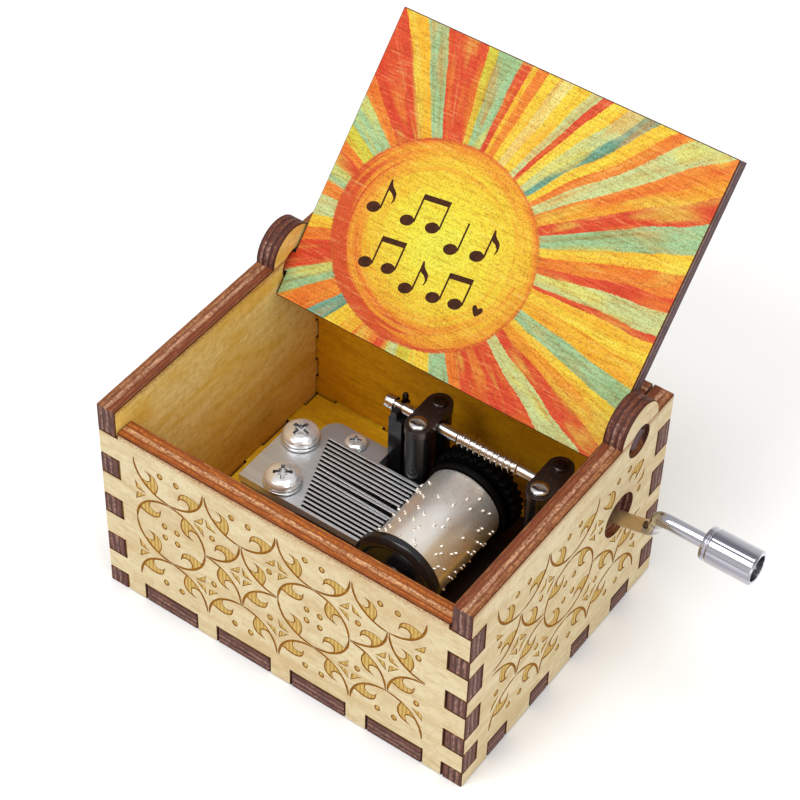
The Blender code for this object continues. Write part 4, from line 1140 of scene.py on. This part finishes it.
def crank():
    """The bent rod, tan up to its second bend with a painted reflection of the wood, its knob and the
    rivet in the knob's bore.
    """
    low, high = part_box("crank_rod")
    axis_y, axis_z = centre_of("worm_shaft").yz
    knob_low, knob_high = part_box("crank_knob")
    knob_y, knob_z = centre_of("crank_knob").yz
    corners = [
        Vector((low.x, axis_y, axis_z)), Vector((27.9 * MM, axis_y, axis_z)),
        Vector((38.0, 12.2, 25.0)) * MM, Vector((40.15, knob_y / MM, knob_z / MM)) * MM,
        Vector((high.x, knob_y, knob_z)),
    ]
    route = corners[:2]
    for before, corner, after in zip(corners[1:], corners[2:], corners[3:]):
        start = corner + (before - corner).normalized() * BEND
        end = corner + (after - corner).normalized() * BEND
        route += rounded(start, corner, end, 12)
    route.append(corners[-1])
    curve = bpy.data.curves.new("crank_rod", "CURVE")
    curve.dimensions = "3D"
    curve.bevel_depth = 1.1 * MM
    curve.bevel_resolution = 10
    curve.use_fill_caps = True
    spline = curve.splines.new("POLY")
    spline.points.add(len(route) - 1)
    for point, place in zip(spline.points, route):
        point.co = (*place, 1)
    spline.use_smooth = True
    bent = linked("bent", curve)
    mesh = smoothed(applied(bent), 40)
    bpy.data.objects.remove(bent, do_unlink=True)
    # painted reflection of the wood on the rod's near part
    for face in mesh.polygons:
        face.material_index = int(face.center.x < WOOD_REFLECTION_TO)
    piece("crank_rod_bent", mesh, "crank", [CHROME, WOOD_REFLECTION], ["crank_rod"])
    length = (knob_high.x - knob_low.x) / MM
    profile = [
        (2.35, length), (2.6, length - 0.22), (2.6, 1.15), (2.42, 1.0), (2.42, 0.82), (2.6, 0.68),
        (2.5, 0.12), (2.2, 0), (1.35, 0), (1.35, length - 2.2), (2.0, length - 2.2), (2.0, length),
    ]
    start = Vector((knob_low.x, knob_y, knob_z))
    knob = turned("crank_knob", profile, (1, 0, 0), start, "knob", CHROME, 0.09, True, 96)
    knob.data.materials.append(BORE_SHADE)
    # painted shade inside the bore
    for face in knob.data.polygons:
        from_axis = hypot(face.center.y - knob_y, face.center.z - knob_z)
        face.material_index = int(from_axis < 2.04 * MM and face.center.x < knob_high.x - 0.3 * MM)
    rivet = [(0, 1.0), (0.6, 0.82), (1.35, 0.38), (1.65, 0.1), (1.65, 0), (0, 0)]
    start = Vector((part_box("knob_rivet")[0].x, knob_y, knob_z))
    turned("knob_rivet", rivet, (1, 0, 0), start, "crank", SCREW, 0.1)
    # painted reflection of the wood on the coupler
    frame["nodes"]["shaft_coupler"].data.materials[0] = WOOD_REFLECTION


def bearings():
    """The two posts that hold the shaft, with their caps and screws, and the post at its far end."""
    for side in ("left", "right"):
        refined(f"bearing_block_{side}", "moulded", "case", BLACK, 0.14, 3)
        refined(f"bearing_cap_{side}", "moulded", "case", STRAP, 0.16, 3)
        pan_screw(f"cap_screw_{side}_front", 1.4, 0.5, 0.6, BRIGHT)
        pan_screw(f"cap_screw_{side}_rear", 1.2, 0.5, 0.6, BLACKENED)
    refined("end_post", "moulded", "case", BLACK, 0.12)
    frame["nodes"]["end_post_peg"].data.materials[0] = BLACKENED


def frame_and_fixings():
    """The bedplate, the comb's two screws on washers and the smaller screws."""
    refined("bedplate", "cast", "case", ZINC, 0.2, 3)
    washer = [(3.0, 0.4), (3.0, 0), (1.5, 0), (1.5, 0.4)]
    for place, turn in (("rear", 80), ("front", 34)):
        node = f"comb_washer_{place}"
        start = Vector((*centre_of(node).xy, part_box(node)[0].z))
        turned(node, washer, (0, 0, 1), start, "case", BRIGHT, 0.1, True)
        pan_screw(f"comb_screw_{place}", 2.85, 1.6, 1.1, SCREW, 1.8, turn)
    pan_screw("bedplate_tab_screw", 1.75, 1.0, 0.7, SCREW, 1.15, 30)
    for i in (1, 2, 3):
        frame["nodes"][f"mounting_screw_{i}"].data.materials[0] = BRIGHT


def bottom():
    """The case's floor: painted warm bounce light above, pale below, its tabs burnt like the walls' edges.
    """
    obj = refined("bottom_panel", "plywood", "case", FLOOR_FACE, 0.13, 1)
    obj.data.materials.append(FACE_ALONG_X)
    obj.data.materials.append(END_EDGE)
    obj.modifiers["rounding"].material = 2
    layer = obj.data.attributes.new("ply_depth", "FLOAT", "POINT")
    for i, vert in enumerate(obj.data.vertices):
        layer.data[i].value = vert.co.z / PLY
    for face in obj.data.polygons:
        face.material_index = 0 if face.normal.z > 0.5 else 1 if face.normal.z < -0.5 else 2


comb()
drum()
drum_ends()
shaft()
crank()
bearings()
frame_and_fixings()
bottom()


# --- Camera, light and floor ---


def camera():
    """The photo's camera, fitted to the case's corners and finger joints."""
    data = bpy.data.cameras.new("camera")
    data.sensor_width, data.lens = 36, 112.63
    data.clip_start, data.clip_end = 0.01, 10
    obj = linked("camera", data)
    forward = Vector((-0.3882, 0.5733, -0.7216)).normalized()
    level = forward.cross(UP).normalized()
    roll = radians(2.04)
    right = level * cos(roll) + level.cross(forward) * sin(roll)
    obj.matrix_world = frame_of(
        Vector((138.2, -200.8, 291.9)) * MM, right, right.cross(forward), -forward
    )
    bpy.context.scene.camera = obj


def area_light(name, place, width, height, power):
    """A soft box that looks at the middle of the case."""
    data = bpy.data.lights.new(name, "AREA")
    data.shape, data.size, data.size_y, data.energy = "RECTANGLE", width, height, power
    obj = linked(name, data)
    obj.location = place
    obj.rotation_euler = (Vector((0, 0, 0.02)) - obj.location).to_track_quat("-Z", "Y").to_euler()


def studio():
    """White surroundings, three soft boxes and a pale floor."""
    scene = bpy.context.scene
    scene.view_settings.view_transform = "Standard"
    world = bpy.data.worlds.new("studio")
    world.use_nodes = True
    background = world.node_tree.nodes["Background"]
    background.inputs["Color"].default_value = (1, 1, 1, 1)
    background.inputs["Strength"].default_value = 0.62
    scene.world = world
    area_light("key", (-0.18, -0.42, 0.62), 0.3, 0.3, 1.9)
    area_light("fill", (0.5, -0.25, 0.35), 0.25, 0.4, 0.9)
    area_light("top", (0.02, -0.02, 0.7), 0.35, 0.25, 1.5)
    bm = bmesh.new()
    bmesh.ops.create_grid(bm, x_segments=1, y_segments=1, size=3)
    floor = linked("floor", mesh_from(bm, "floor"))
    floor.location.z = min(0.0, cad_box[0][2]) - 0.02 * MM
    material, _, shader = new_material("floor", Roughness=0.6)
    shader.inputs["Base Color"].default_value = (0.97, 0.97, 0.97, 1)
    floor.data.materials.append(material)


camera()
studio()
